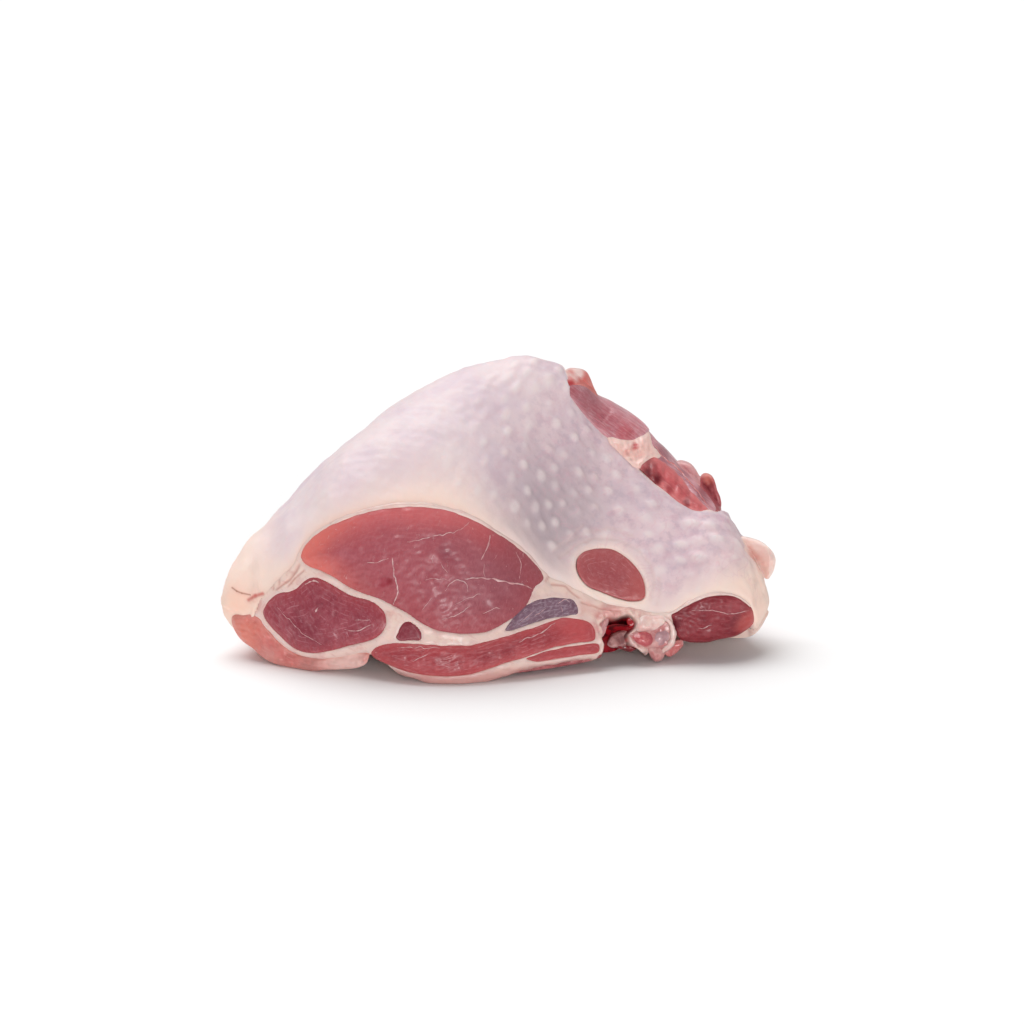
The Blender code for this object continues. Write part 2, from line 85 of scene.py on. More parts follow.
# Cut muscles on the front face: their outlines, (x, z).
THIGH = [(-47.5, 27), (-46.9, 28.8), (-45.7, 30.4), (-43.9, 32.2), (-41.7, 33.9), (-39, 35.5),
         (-35.9, 36.9), (-32.5, 38.1), (-29.2, 39), (-25.9, 39.6), (-22.3, 39.9), (-18.8, 39.9),
         (-15.2, 39.5), (-12.2, 38.9), (-9.1, 37.9), (-6, 36.5), (-3.2, 34.9), (-0.4, 33),
         (2.2, 31.1), (4.8, 28.9), (7, 26.8), (8.9, 24.4), (10.2, 22.6), (10.6, 21.5), (9.8, 20.7),
         (8.7, 20.3), (8, 19.5), (7.5, 18.3), (6.4, 16.6), (4.6, 15.1), (2.2, 13.6), (-0.4, 12.4),
         (-3.2, 11.6), (-6.2, 11.4), (-9.3, 11.5), (-12.3, 12), (-15.1, 12.6), (-17.7, 13.7),
         (-20.1, 15), (-22.4, 16.4), (-25.1, 17.6), (-28.2, 18.9), (-31.5, 19.7), (-34.7, 20.5),
         (-37.3, 21.8), (-40, 23.3), (-42.6, 24.3), (-45.1, 24.9), (-46.8, 25.8)]
ROUND = [(-43.8, 22.7), (-42.1, 22.3), (-39.5, 21.1), (-37.3, 19.9), (-34.9, 19.1), (-32.5, 18.7),
         (-30.3, 18.3), (-28.4, 17.3), (-27.1, 15.9), (-26.6, 14.4), (-26.8, 12.6), (-27.9, 11),
         (-29.8, 9.7), (-32.5, 8.4), (-35.4, 7.2), (-38.1, 6.2), (-41.2, 5.3), (-44.1, 4.6),
         (-46.6, 4.5), (-49.1, 5.1), (-51.1, 6.3), (-52.9, 7.8), (-55, 9.5), (-56.4, 11),
         (-56.9, 12.7), (-56.2, 14.5), (-54.5, 16.4), (-52.4, 18), (-49.9, 18.7), (-48.3, 19.7),
         (-46.2, 21.8)]
SMALL = [(-24.4, 10.6), (-23.9, 11.7), (-23.4, 12.9), (-22.4, 14.1), (-21.3, 14.4), (-19.8, 13.7),
         (-18.7, 12.5), (-18.3, 11.2), (-18.5, 10.3), (-21.5, 10), (-23.6, 9.9)]
SLATE = [(1.2, 11.7), (2.5, 13.5), (4.6, 15.3), (6.7, 16.7), (8.9, 17.3), (11, 17.4), (13.2, 17.3),
         (15.6, 16.8), (17.3, 16.2), (18.4, 15.2), (18.8, 14.1), (18.6, 13), (16.8, 13),
         (14.4, 12.9), (10.8, 12.8), (6.7, 12.2), (4.1, 11.7), (2, 11.4)]
UNDER = [(-30.3, 6), (-29.6, 7.4), (-28.1, 8.4), (-25.7, 9.1), (-21.8, 9.4), (-17.4, 9.3),
         (-13, 9.1), (-9.5, 9), (-6.5, 9), (-2.1, 9.7), (2.3, 10.5), (6.7, 11.3), (11.2, 12.1),
         (13.9, 12.6), (16.3, 12.6), (19.2, 12), (21.3, 11.2), (22.5, 10.1), (23, 8.5), (22.7, 7.2),
         (21.4, 6.9), (17.9, 6.9), (13.4, 6.6), (10.3, 6.1), (6.7, 5.2), (4.5, 4.8), (0.1, 3.9),
         (-4.3, 2.7), (-8.2, 2.1), (-12.1, 1.9), (-16.5, 2), (-20.5, 2.4), (-24, 3.2), (-27.1, 4.2),
         (-29.4, 5)]
LOBE = [(6.2, 4.9), (9.2, 5.7), (11.6, 6.2), (14.2, 6.4), (17.9, 6.6), (21.5, 6.6), (23.4, 6.3),
        (24.1, 5.3), (23.9, 4.5), (22.7, 4), (19.2, 4.1), (15.6, 3.9), (11.2, 3.7), (8.4, 3.8)]
OVAL = [(18.5, 24), (19, 25), (20.3, 25.9), (22.5, 26.3), (24.9, 26.3), (27.1, 26), (29.1, 25.1),
        (31.2, 23.6), (33.1, 21.7), (34.4, 19.7), (35, 17.5), (34.9, 15.8), (34.2, 15),
        (32.8, 14.7), (30.4, 14.9), (27.5, 15.8), (24.1, 17.2), (21.2, 18.6), (19.5, 20.4),
        (18.6, 22.3)]
END = [(41.2, 11.7), (42.4, 12.3), (44.3, 13.6), (46.4, 14.6), (48.8, 15.6), (51, 16.2),
       (53.5, 16.2), (55.9, 15.8), (58, 14.8), (59.5, 13.5), (60.8, 12.2), (61.7, 10.6),
       (61.9, 9), (61.2, 7.5), (59.4, 6.2), (57.2, 5.2), (54.7, 4.9), (52.7, 4.7), (50.5, 4.2),
       (48.1, 4.2), (45.7, 4.4), (43.7, 5.2), (42.7, 6.5), (42.1, 8), (41.5, 10.1)]
HOLLOW = [(24, 10.4), (24.6, 10.9), (26, 11.8), (28.3, 11.4), (29.8, 11.8), (31.4, 11.6),
          (32.7, 10.1), (32.5, 8.7), (31.6, 7.9), (31, 7.4), (31.1, 6.2), (32.1, 4.9), (33.7, 3.2),
          (34.6, 1), (29.8, 0.6), (25, 0.5), (20.5, 0.7), (22.6, 2.5), (24.4, 3.8), (24.9, 5.8),
          (24.4, 7.4), (24.7, 8.9)]
SKIN_LIP = 0.4                # how far the skin's lower edge stays above the muscles that it meets
# The lower edge of the skin along the cut, (x, z).
CUT_EDGE = [(-57.1, 15.5), (-54.6, 19), (-51.8, 22), (-49.3, 24.6), (-47.6, 27.8),
            *((x, z + SKIN_LIP) for x, z in THIGH[1:21]),
            (8.9, 24.9), (10.3, 23.1), (11.5, 21.9), (12.5, 21.1), (15.4, 19.8), (19.2, 17.6),
            (24.1, 15.2), (27, 14), (30.1, 13.1), (33.7, 12.5), (36.1, 12.1), (38.5, 11.9),
            *((x, z + SKIN_LIP) for x, z in END[:11])]
# What lies round the edge of the joint, behind the free edge of the skin and under the cut.
FLAP = [(-64.8, 9.9), (-65, 8.2), (-63.9, 5.9), (-62.1, 4.2), (-59.5, 2.9), (-56.9, 1.1),
        (-54.4, 0.3), (-51.1, 0), (-47.3, -0.1), (-44, 0.1), (-41.6, 0.6), (-38, 0.9),
        (-34.3, 1.6), (-31.7, 3.1), (-31, 4.6), (-30.8, 5.9), (-32.6, 5.8), (-35.1, 5.1),
        (-38.3, 4.2), (-42.4, 3.5), (-46, 3.3), (-49.4, 4), (-52.2, 5.5), (-54.8, 7.6), (-56.8, 9.8),
        (-57.6, 11), (-60, 11.6), (-62.4, 11)]
PLANE = [(16.6, 63.2), (17.5, 64), (19.7, 63.3), (22.3, 61), (24.1, 58.9), (27.8, 56.9),
         (31.8, 54.5), (34.8, 52.6), (36.4, 51.3), (37.1, 50.2), (36.4, 49.4), (34.6, 48.9),
         (32.4, 48.8), (30.2, 49), (28, 49.3), (26, 50.3), (23.7, 52.3), (21.1, 55.3), (18.6, 58.6),
         (16.9, 61.1)]
LUMP = [(14.2, 64.2), (14.8, 65.4), (16.4, 65.8), (18.2, 65.7), (20.3, 65.2), (21.6, 64.4),
        (22.5, 62.8), (23.3, 60.7), (24.2, 58.9), (22.7, 59.9), (20.7, 61.6), (18.4, 62.3),
        (16.2, 62.6)]
PATCH = [(26.6, 50.1), (28.4, 50.1), (30.2, 49.7), (31.8, 49.4), (33.4, 49.7), (35.1, 50.2),
         (36.6, 50.3), (37.3, 49.3), (37.6, 48), (38.3, 46.9), (39.3, 45.9), (40.2, 44.8),
         (39.2, 44.6), (38, 45), (36.8, 44.8), (35.6, 44), (34.2, 43), (32.6, 43.6), (30.6, 45.4),
         (28.4, 47.4), (26.8, 49)]
RED_STRIP = [(33.8, 43.6), (34.6, 44.6), (35.8, 44.9), (37.2, 44.9), (38.8, 44.9), (40.3, 44.2),
             (41.8, 43.1), (43.4, 41.7), (45, 40.2), (46.4, 38.6), (47.8, 37.1), (49.2, 35.6),
             (50.7, 34.2), (51.6, 33), (51.2, 32.2), (49.2, 32.8), (46.6, 33.7), (43.7, 35.2),
             (40.8, 37.3), (37.6, 39.8), (35.2, 42)]
SECOND = [(36.5, 50.4), (37.5, 49.5), (39, 47.7), (41, 45.5), (43, 43.3), (44.9, 41.3),
          (46.8, 39.8), (48.7, 38.1), (50.6, 36.3), (52.3, 34.4), (53.1, 32.9), (52.2, 32.2),
          (51, 33.1), (49.1, 34.7), (46.8, 36.9), (44.4, 39.3), (41.7, 42), (39.2, 43.8),
          (38, 45.6), (37, 47.8)]
KNOB_PALE = [(43.6, 42.2), (45, 42.1), (46.4, 41.9), (47.7, 41.4), (48.8, 40.3), (49.6, 39),
             (50.3, 38.3), (50.8, 37), (49.4, 37), (47.5, 38.4), (45.6, 40)]
KNOB_RED = [(49.3, 38), (50.4, 39.2), (51.7, 39.7), (52.8, 39.2), (53.4, 37.8), (53.8, 36.3),
            (54.5, 34.7), (54.8, 32.7), (54.4, 31.7), (53.3, 31.9), (52.1, 33.3), (50.8, 35.1),
            (49.5, 36.8)]
SIDE = [(59.4, 25.6), (61.9, 25.4), (64, 25), (65.8, 24.1), (67.1, 22.7), (67.7, 20.9),
        (67.5, 19.1), (67, 17.6), (65.7, 16), (63.5, 17.5), (61.3, 20.7), (59.8, 23)]
KNUCKLE = [(31, 7.3), (32.5, 8.1), (34.7, 8.3), (36.6, 8.6), (38.5, 9.6), (40.4, 10.6),
           (41.5, 9.4), (42.2, 7.6), (42.4, 5.8), (42.1, 4.4), (41, 3.3), (39.3, 2.7),
           (37.4, 3.1), (35.6, 3.7), (33.7, 4.6), (32, 5.9)]
KNUCKLE_PINK = [(31.9, 7), (33, 7.7), (34.9, 7.9), (36.5, 7.1), (37, 6.1), (36.7, 5), (35.4, 4.4),
                (33.8, 5), (32.6, 5.9)]
KNUCKLE_WHITE = [(33.7, 11.1), (34.9, 11.6), (36.6, 11.4), (38.3, 11.6), (39.6, 11.3), (39.9, 9.8),
                 (38.6, 8.8), (37.3, 8.1), (35.6, 8.1), (34.1, 7.9), (32.9, 8.2), (32.7, 9.4)]
KNUCKLE_GREY = [(37.1, 6.6), (37.7, 7.5), (39.1, 8), (40.4, 7.6), (40.8, 6.4), (40.3, 5.2),
                (39.3, 4.5), (38, 4.5), (37, 5.4)]
DRIP = [(35.7, 3.6), (36.2, 4.4), (37.8, 4.1), (39.5, 3.4), (39.9, 2.6), (39.6, 1.4), (38.9, 0.5),
        (37.6, 0.4), (36.6, 1.3), (35.9, 2.6)]
TISSUE = [(25.8, 5.2), (26.6, 6.6), (28.4, 7.4), (30.4, 7.6), (31.6, 7), (32.6, 5.6), (33.2, 4.2),
          (31.2, 4.1), (28.8, 4.3), (26.8, 4.4)]
BLOOD = [(26.6, 5), (29.3, 5.2), (31.2, 4.9), (32.9, 4.2), (33.3, 3.2), (31.7, 2.5), (30.3, 2.9),
         (28.6, 3.8)]
CLOT = [(30.5, 10.2), (31, 11.2), (32, 11.2), (32.7, 10.3), (32.8, 9.2), (31.9, 8.5), (30.9, 9)]
WALL = [(23.9, 9.6), (24.4, 10.7), (25.2, 11.4), (26, 11.3), (26.1, 10.3), (25.6, 9), (25.2, 8),
        (24.5, 7.3), (24, 8.2)]
FRINGE = [(1, 1.6), (6, 2.4), (12, 3), (18, 3.3), (22, 3.6), (24.4, 3.3), (24.3, 2.5), (22, 1.8),
          (16, 1.3), (9, 1), (3, 1)]
TAG = [(40.1, 3.2), (41, 4), (42.3, 4.7), (44, 4.9), (44.4, 3.7), (43.6, 2.5), (42.3, 1.4),
       (40.9, 0.9), (39.8, 1.7)]


# ---- curves and surfaces -------------------------------------------------------------------------
def smooth(value, low, high):
    """0 below low, 1 above high, and 3 t^2 - 2 t^3 between them."""
    t = np.clip((value - low) / (high - low), 0, 1)
    return t * t * (3 - 2 * t)


def hermite(s, span, start, end, slope_start, slope_end):
    """The cubic from start to end over span, with the slopes given at its ends."""
    return ((2 * s**3 - 3 * s**2 + 1) * start + (s**3 - 2 * s**2 + s) * span * slope_start
            + (-2 * s**3 + 3 * s**2) * end + (s**3 - s**2) * span * slope_end)


def through(knots, x):
    """The knots' other columns at each x: a cubic whose slope at a knot is the mean of its sides'."""
    knots = np.array(knots, float)
    at = knots[:, 0]
    step = np.diff(at)
    i = np.clip(np.searchsorted(at, x) - 1, 0, len(at) - 2)
    columns = []
    for value in knots[:, 1:].T:
        rate = np.diff(value) / step
        slope = np.concatenate([rate[:1], (rate[1:] * step[:-1] + rate[:-1] * step[1:])
                                / (step[1:] + step[:-1]), rate[-1:]])
        columns.append(hermite((x - at[i]) / step[i], step[i], value[i], value[i + 1],
                               slope[i], slope[i + 1]))
    return np.stack(columns, -1)


def ring_through(points, u):
    """Closed curves through points (n, K, axes), read at u (n, m), which counts the points.

    Each span's length is the root of its chord, and the slope at a point is the mean of its sides'.
    """
    count = points.shape[1]
    after = np.roll(points, -1, 1)
    span = np.sqrt(np.linalg.norm(after - points, axis=2)) + 1e-6
    rate = (after - points) / span[..., None]
    before_span, before_rate = np.roll(span, 1, 1), np.roll(rate, 1, 1)
    slope = (rate * before_span[..., None] + before_rate * span[..., None])
    slope = slope / (span + before_span)[..., None]
    row = np.arange(len(points))[:, None]
    k = np.floor(u).astype(int) % count
    k_next = (k + 1) % count
    return hermite((u - np.floor(u))[..., None], span[row, k][..., None], points[row, k],
                   points[row, k_next], slope[row, k], slope[row, k_next])


def hill(x, middle, width, height):
    """height times e to the minus ((x - middle) / width) squared."""
    return height * np.exp(-((x - middle) / width) ** 2)


def section_points(x):
    """The ten control points of the section at each x, from the foot up the cut and round the back."""
    foot, rim, ridge, back = (through(knots, x) for knots in (FOOT, RIM, RIDGE, BACK))

    def pushed(low, high, out):
        """Halfway from low to high, pushed outwards, to the front and up."""
        way = high - low
        normal = np.stack([-way[:, 1], way[:, 0]], -1)
        normal = normal / (np.linalg.norm(way, axis=1, keepdims=True) + 1e-9)
        return (low + high) / 2 + normal * out[:, None]

    face = pushed(foot, rim, hill(x, -15, 40, 1.6))
    slope = pushed(rim, ridge, hill(x, -28, 30, 5.5) + hill(x, 45, 20, 3) + 1)
    lift = 7 * np.sqrt(np.clip(ridge[:, 1] / 60, 0.1, 1.2))
    shoulder = (ridge + back) / 2 + np.stack([np.full_like(x, 3), lift], -1)
    beyond = np.clip(np.abs(x) - 38, 0, 40) ** 1.5
    heel = np.stack([back[:, 0] - 7 * np.clip(back[:, 1] / 24, 0.3, 1),
                     np.minimum(0.045 * beyond, back[:, 1] / 2)], -1)
    under = 0.05 * np.clip(np.abs(x) - 40, 0, 40) ** 1.5
    sole = np.stack([0.45 * foot[:, 0] + 0.55 * heel[:, 0], under], -1)
    toe_lift = 0.05 * np.clip(np.abs(x) - 30, 0, 40) ** 1.5 + 0.4 * foot[:, 1]
    toe = np.stack([0.85 * foot[:, 0] + 0.15 * heel[:, 0],
                    np.minimum(0.55 * foot[:, 1], toe_lift)], -1)
    return np.stack([foot, face, rim, slope, ridge, shoulder, back, heel, sole, toe], 1)


def leg_surface(x, u):
    """Points (n, m, 3) of the form at sections x (n) and places u (n, m) round each section.

    A section is drawn in towards its mean by the root of 1 - (1 - t)^2 over the two rounded ends,
    and the front of it is pushed back by the valley's hill.
    """
    ring = ring_through(section_points(x), u)
    ring[..., 1] = np.maximum(ring[..., 1], 0)
    whole = ring_through(section_points(x), np.tile(np.arange(0, 10, 0.25), (len(x), 1)))
    spine = np.stack([whole[..., 0], np.maximum(whole[..., 1], 0)], -1).mean(1, keepdims=True)
    nose = np.clip((x - LENGTH_LEFT) / NOSE_ROUND, 0, 1)
    tail = np.clip((LENGTH_RIGHT - x) / TAIL_ROUND, 0, 1)
    width = np.sqrt(1 - (1 - nose) ** 2) * np.sqrt(1 - (1 - tail) ** 2)
    ring = spine + (ring - spine) * width[:, None, None]
    at_x, at_z, wide, deep = VALLEY
    in_front = 1 - smooth(np.mod(u, 10), RIDGE_AT - 0.7, RIDGE_AT)
    away = ((x[:, None] - at_x) ** 2 + (ring[..., 1] - at_z) ** 2) / wide**2
    ring[..., 0] += deep * np.exp(-away) * in_front
    along = np.broadcast_to(x[:, None, None], ring.shape[:2] + (1,))
    return np.concatenate([along, ring], 2)


def outward(grid):
    """Unit normals of a grid: the cross product of its gradients along x and round the section."""
    normal = np.cross(np.gradient(grid, axis=0), np.gradient(grid, axis=1))
    return normal / (np.linalg.norm(normal, axis=2, keepdims=True) + 1e-12)


def waves(points, size, seed, count=12):
    """Smooth noise, mostly from -1 to 1: a sum of sines of about that wavelength at random angles."""
    draw = np.random.default_rng(seed)
    turn = draw.normal(size=(count, points.shape[-1]))
    turn /= np.linalg.norm(turn, axis=1, keepdims=True)
    pace = 2 * math.pi / (size * draw.uniform(0.7, 1.5, count))
    phase = draw.uniform(0, 2 * math.pi, count)
    total = sum(np.sin(points @ (turn[i] * pace[i]) + phase[i]) for i in range(count))
    return total / math.sqrt(count)


def columns(low, high, count, close=(), ends=1.0):
    """count places from low to high, closer together at both ends and near some others.

    Their density is 1 plus two falling exponentials at each end and a hill of gain at each
    (place, width, gain) of close.
    """
    x = np.linspace(low, high, 4000)
    span = (high - low) * ends / 134
    density = 1 + sum(2 * np.exp(-away / (3 * span)) + 8 * np.exp(-away / (0.5 * span))
                      for away in (x - low, high - x))
    for place, width, gain in close:
        density = density + hill(x, place, width, gain)
    run = np.concatenate([[0], np.cumsum((density[1:] + density[:-1]) / 2)])
    return np.interp(np.linspace(0, run[-1], count), run, x)


TABLE_X = np.linspace(LENGTH_LEFT + 0.2, LENGTH_RIGHT - 0.2, 540)
TABLE_Z = np.linspace(0, 70, 421)
front = leg_surface(TABLE_X, np.tile(np.linspace(FOOT_AT, RIDGE_AT, 300), (len(TABLE_X), 1)))
TABLE_Y = np.array([np.interp(TABLE_Z, line[:, 2], line[:, 1]) for line in front])


def front_depth(x, z):
    """y of the form's front at each (x, z), read between the four nearest entries of the table."""
    across = np.clip((x - TABLE_X[0]) / (TABLE_X[1] - TABLE_X[0]), 0, len(TABLE_X) - 1.001)
    up = np.clip((z - TABLE_Z[0]) / (TABLE_Z[1] - TABLE_Z[0]), 0, len(TABLE_Z) - 1.001)
    i, j = across.astype(int), up.astype(int)
    s, t = across - i, up - j
    return ((1 - s) * (1 - t) * TABLE_Y[i, j] + s * (1 - t) * TABLE_Y[i + 1, j]
            + (1 - s) * t * TABLE_Y[i, j + 1] + s * t * TABLE_Y[i + 1, j + 1])


def outline(points, sides):
    """A smooth closed outline (sides, 2) through points."""
    points = np.array(points, float)[None]
    return ring_through(points, np.linspace(0, points.shape[1], sides, endpoint=False)[None])[0]


def inside(edge, x, z):
    """Signed distance of (x, z) from a closed outline, positive inside.

    It is the least distance to the outline's sides. Its sign is from how often a line running to
    the right crosses them.
    """
    point = np.stack([np.ravel(x), np.ravel(z)], -1)[:, None]
    start, stop = edge[None], np.roll(edge, -1, 0)[None]
    way = stop - start
    share = np.clip(((point - start) * way).sum(2) / (way**2).sum(2), 0, 1)
    least = np.linalg.norm(point - start - way * share[..., None], axis=2).min(1)
    spans = (start[..., 1] > point[..., 1]) != (stop[..., 1] > point[..., 1])
    rise = np.where(way[..., 1] == 0, 1e-12, way[..., 1])
    crossing = start[..., 0] + (point[..., 1] - start[..., 1]) * way[..., 0] / rise
    odd = (spans & (point[..., 0] < crossing)).sum(1) % 2 == 1
    return np.where(odd, least, -least).reshape(np.shape(x))


# ---- pieces --------------------------------------------------------------------------------------
def add_piece(name, grids, finish, replaced=(), shades=None):
    """One closed piece through grids of rings (rings, sides, 3), each capped by a fan at both ends.

    shades are values for each point of the grids, kept as attributes. Faces are turned to point
    out by the sign of the volume that they enclose. Nothing goes below the floor.
    """
    points, faces, tints = [], [], {key: [] for key in (shades or {})}
    base = 0
    for number, grid in enumerate(grids):
        rings, sides = grid.shape[:2]
        corner = np.arange(sides)
        after = (corner + 1) % sides
        start = base + (np.arange(rings - 1) * sides)[:, None]
        quads = np.stack([start + corner, start + sides + corner, start + sides + after,
                          start + after], -1).reshape(-1, 4)
        tips = base + rings * sides
        last = base + (rings - 1) * sides
        low = np.stack([base + after, np.full(sides, tips), base + corner, base + corner], -1)
        high = np.stack([last + corner, np.full(sides, tips + 1), last + after, last + after], -1)
        points.append(np.concatenate([grid.reshape(-1, 3), grid[0].mean(0)[None],
                                      grid[-1].mean(0)[None]]))
        triangles = np.concatenate([low, high])[:, :3]
        if enclosed(points[-1], quads - base, triangles - base) < 0:
            quads, triangles = quads[:, ::-1], triangles[:, ::-1]
        faces.append((quads, triangles))
        for key in tints:
            shade = shades[key][number]
            tints[key].append(np.concatenate([shade.ravel(), [shade[0].mean(), shade[-1].mean()]]))
        base = tips + 2
    quads = np.concatenate([pair[0] for pair in faces])
    triangles = np.concatenate([pair[1] for pair in faces])
    mesh = bpy.data.meshes.new(name)
    place = (np.concatenate(points) + CENTRING) * MM
    place[:, 2] = np.maximum(place[:, 2], 0)
    mesh.vertices.add(len(place))
    mesh.vertices.foreach_set("co", place.ravel().astype(np.float32))
    mesh.loops.add(quads.size + triangles.size)
    mesh.loops.foreach_set("vertex_index", np.concatenate([quads.ravel(), triangles.ravel()])
                           .astype(np.int32))
    starts = np.concatenate([np.arange(len(quads)) * 4,
                             quads.size + np.arange(len(triangles)) * 3])
    mesh.polygons.add(len(starts))
    mesh.polygons.foreach_set("loop_start", starts.astype(np.int32))
    mesh.update(calc_edges=True)
    mesh.validate()
    mesh.shade_smooth()
    for key, values in tints.items():
        layer = mesh.attributes.new(key, "FLOAT", "POINT")
        layer.data.foreach_set("value", np.concatenate(values).astype(np.float32))
    mesh.materials.append(finish)
    piece = bpy.data.objects.new(name, mesh)
    bpy.context.scene.collection.objects.link(piece)
    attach(piece, "root")
    if replaced:
        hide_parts(*replaced)
    return piece


def enclosed(points, quads, triangles):
    """Six times the volume inside the faces: the sum of each face's triple product."""
    thirds = np.concatenate([quads[:, :3], quads[:, [0, 2, 3]], triangles])
    a, b, c = (points[thirds[:, i]] for i in range(3))
    return float((np.cross(a, b) * c).sum())


def skin_end(x):
    """Where the skin stops round each section: SKIN_BACK behind the ridge, or at its free edge.

    Towards the two ends it goes round to WRAPPED, and it is lifted over the ridge just before the
    free edge starts. The line is averaged over EDGE_SOFT along x.
    """
    wanted, x = x, np.linspace(LENGTH_LEFT, LENGTH_RIGHT, 671)
    u = np.linspace(RIDGE_AT - 0.6, WRAPPED, 160)
    over = leg_surface(x, np.tile(u, (len(x), 1)))
    back = np.array([np.interp(SKIN_BACK, line[:, 1], u) for line in np.maximum.accumulate(over, 1)])
    deep = (x > -44) & (x < 50)
    back = np.interp(x, x[deep], back[deep])
    back = back + (WRAPPED - back) * (1 - smooth(x, -63, -42) + smooth(x, 50, 64))
    u = np.linspace(RIM_AT, RIDGE_AT, 160)
    slope = leg_surface(x, np.tile(u, (len(x), 1)))
    edge = np.array(SKIN_EDGE, float)
    height = np.interp(x, edge[:, 0], edge[:, 1])
    free = np.array([np.interp(h, line[:, 2], u) for h, line in zip(height, slope)])
    free = np.where(x < edge[0, 0], free[np.searchsorted(x, edge[0, 0])], free)
    free = free + hill(x, 13.6, 2.2, 0.3)
    end = back + (free - back) * smooth(x, 1, 17.5) * (1 - smooth(x, 53, 62.5))
    count = round(EDGE_SOFT / (x[1] - x[0]))
    padded = np.pad(end, (count // 2, count - 1 - count // 2), "edge")
    return np.interp(wanted, x, np.convolve(padded, np.full(count, 1 / count), "valid"))


def skin_start(x):
    """Where the skin starts round each section: at CUT_EDGE, and under the two ends."""
    u = np.linspace(FOOT_AT, RIM_AT + 0.8, 200)
    face = leg_surface(x, np.tile(u, (len(x), 1)))
    edge = np.array(CUT_EDGE, float)
    height = np.interp(x, edge[:, 0], edge[:, 1])
    cut = np.array([np.interp(h, np.maximum.accumulate(line[:, 2]), u)
                    for h, line in zip(height, face)])
    nose, tail = 1 - smooth(x, -61.5, -57.3), smooth(x, 60.4, 62.6)
    return cut + (NOSE_START - cut) * nose + (TAIL_START - cut) * tail


def rows(*stretches):
    """Places round a section (n, m): each stretch is (from (n), to (n), count), without its end."""
    return np.concatenate([low[:, None] + (high - low)[:, None] * np.arange(count) / count
                           for low, high, count in stretches], 1)


def steps(grid):
    """Distance run along each section of a grid (n, m), from its first row."""
    step = np.linalg.norm(np.diff(grid, axis=1), axis=2)
    return np.concatenate([np.zeros((len(grid), 1)), np.cumsum(step, 1)], 1)


def near(value, reach):
    """1 at a value of 0, falling by e to the minus value / reach."""
    return np.exp(-np.maximum(value, 0) / reach)


def line_distance(line, x, z):
    """Least distance of (x, z) from an open line of points."""
    line = np.array(line, float)
    point = np.stack([np.ravel(x), np.ravel(z)], -1)[:, None]
    start, way = line[None, :-1], np.diff(line, axis=0)[None]
    share = np.clip(((point - start) * way).sum(2) / (way**2).sum(2), 0, 1)
    return np.linalg.norm(point - start - way * share[..., None], axis=2).min(1).reshape(np.shape(x))


def grooves(lines, grid, mask):
    """Depth of fine creases at each point, and how near one lies: a narrow hill across each line."""
    depth, close = np.zeros(grid.shape[:2]), np.zeros(grid.shape[:2])
    for line, deep, width in lines:
        place = np.array(line)
        low, high = place.min(0) - 3, place.max(0) + 3
        here = (mask & (grid[..., 0] > low[0]) & (grid[..., 0] < high[0])
                & (grid[..., 2] > low[1]) & (grid[..., 2] < high[1]))
        share = np.exp(-((line_distance(line, grid[here][:, 0], grid[here][:, 2]) / width) ** 2))
        depth[here] += deep * share
        close[here] = np.maximum(close[here], share)
    return depth, close


FOLLICLE_PITCH = 4.2


def follicle_places(surface, seed):
    """Places on a surface (n, m, 3), drawn at random but never closer than FOLLICLE_PITCH."""
    draw = np.random.default_rng(seed)
    flat = surface.reshape(-1, 3)
    kept = flat[:1]
    for place in flat[draw.permutation(len(flat))[:12000]]:
        if ((kept - place) ** 2).sum(1).min() > FOLLICLE_PITCH**2:
            kept = np.concatenate([kept, place[None]])
    return kept


def follicles(surface, seed):
    """Height of the goose bumps, 0 to 1: the highest of the soft domes, each on its own place.

    A dome is e to the minus d^2.5, where d is the distance in ellipsoids that are tall and lean on
    the left, round in the middle, and wide at the lower right.
    """
    draw = np.random.default_rng(seed)
    total = np.zeros(surface.shape[:2])
    for place in follicle_places(surface, seed):
        gap = surface - place
        close = (np.abs(gap) < 6).all(-1)
        along, deep, up = gap[close].T
        left = 1 - smooth(place[0] - 0.35 * place[2], -24, 2)
        right = smooth(place[0] - 0.5 * place[2], 8, 34)
        size = draw.uniform(0.8, 1.2)
        wide, tall = (1.5 - 0.25 * left + 0.8 * right) * size, (1.5 + 0.7 * left) * size
        climb = 0.75 * up + 0.65 * deep
        off = (((along - 0.35 * left * climb) / wide) ** 2 + (climb / tall) ** 2
               + ((0.75 * deep - 0.65 * up) / 1.6) ** 2)
        total[close] = np.maximum(total[close], draw.uniform(0.5, 1) * np.exp(-off**1.25))
    return total


# Creases of the rounded nose: each a line (x, z), its depth and its width.
NOSE_CREASES = [([(-64.8, 16.9), (-63.6, 16.3), (-62.3, 16), (-60.2, 15.7)], 0.22, 0.6),
                ([(-60.7, 14.6), (-58.9, 15.8), (-57, 16.6)], 0.3, 0.8)]
# Fine folds in the skin above the oval opening.
SKIN_FOLDS = [([(12.5, 26.9), (15.9, 28.7), (19.8, 31.6)], -0.22, 0.45),
              ([(14.5, 25.4), (18, 27.3), (23, 28.6), (29, 27.9), (33.5, 25.6)], 0.22, 0.5),
              ([(16, 28.2), (21, 30.2), (27, 30.4), (32, 28.6)], 0.14, 0.5),
              ([(36.2, 15), (37.3, 19), (36, 23), (33.5, 25.6)], 0.2, 0.45),
              ([(37.8, 14), (38.6, 17), (38.4, 20)], 0.16, 0.4)]
SKIN_COLUMNS, SKIN_ROWS, INNER_ROWS, ROLL_ROWS = 400, 200, 22, 6
FOLLICLE_LOW, FOLLICLE_MORE = 0.36, 0.34   # their height at the left, and what is added at the right
OPENING_DROP, EDGE_DROP = 1.8, 0.8         # how far the skin is let in there


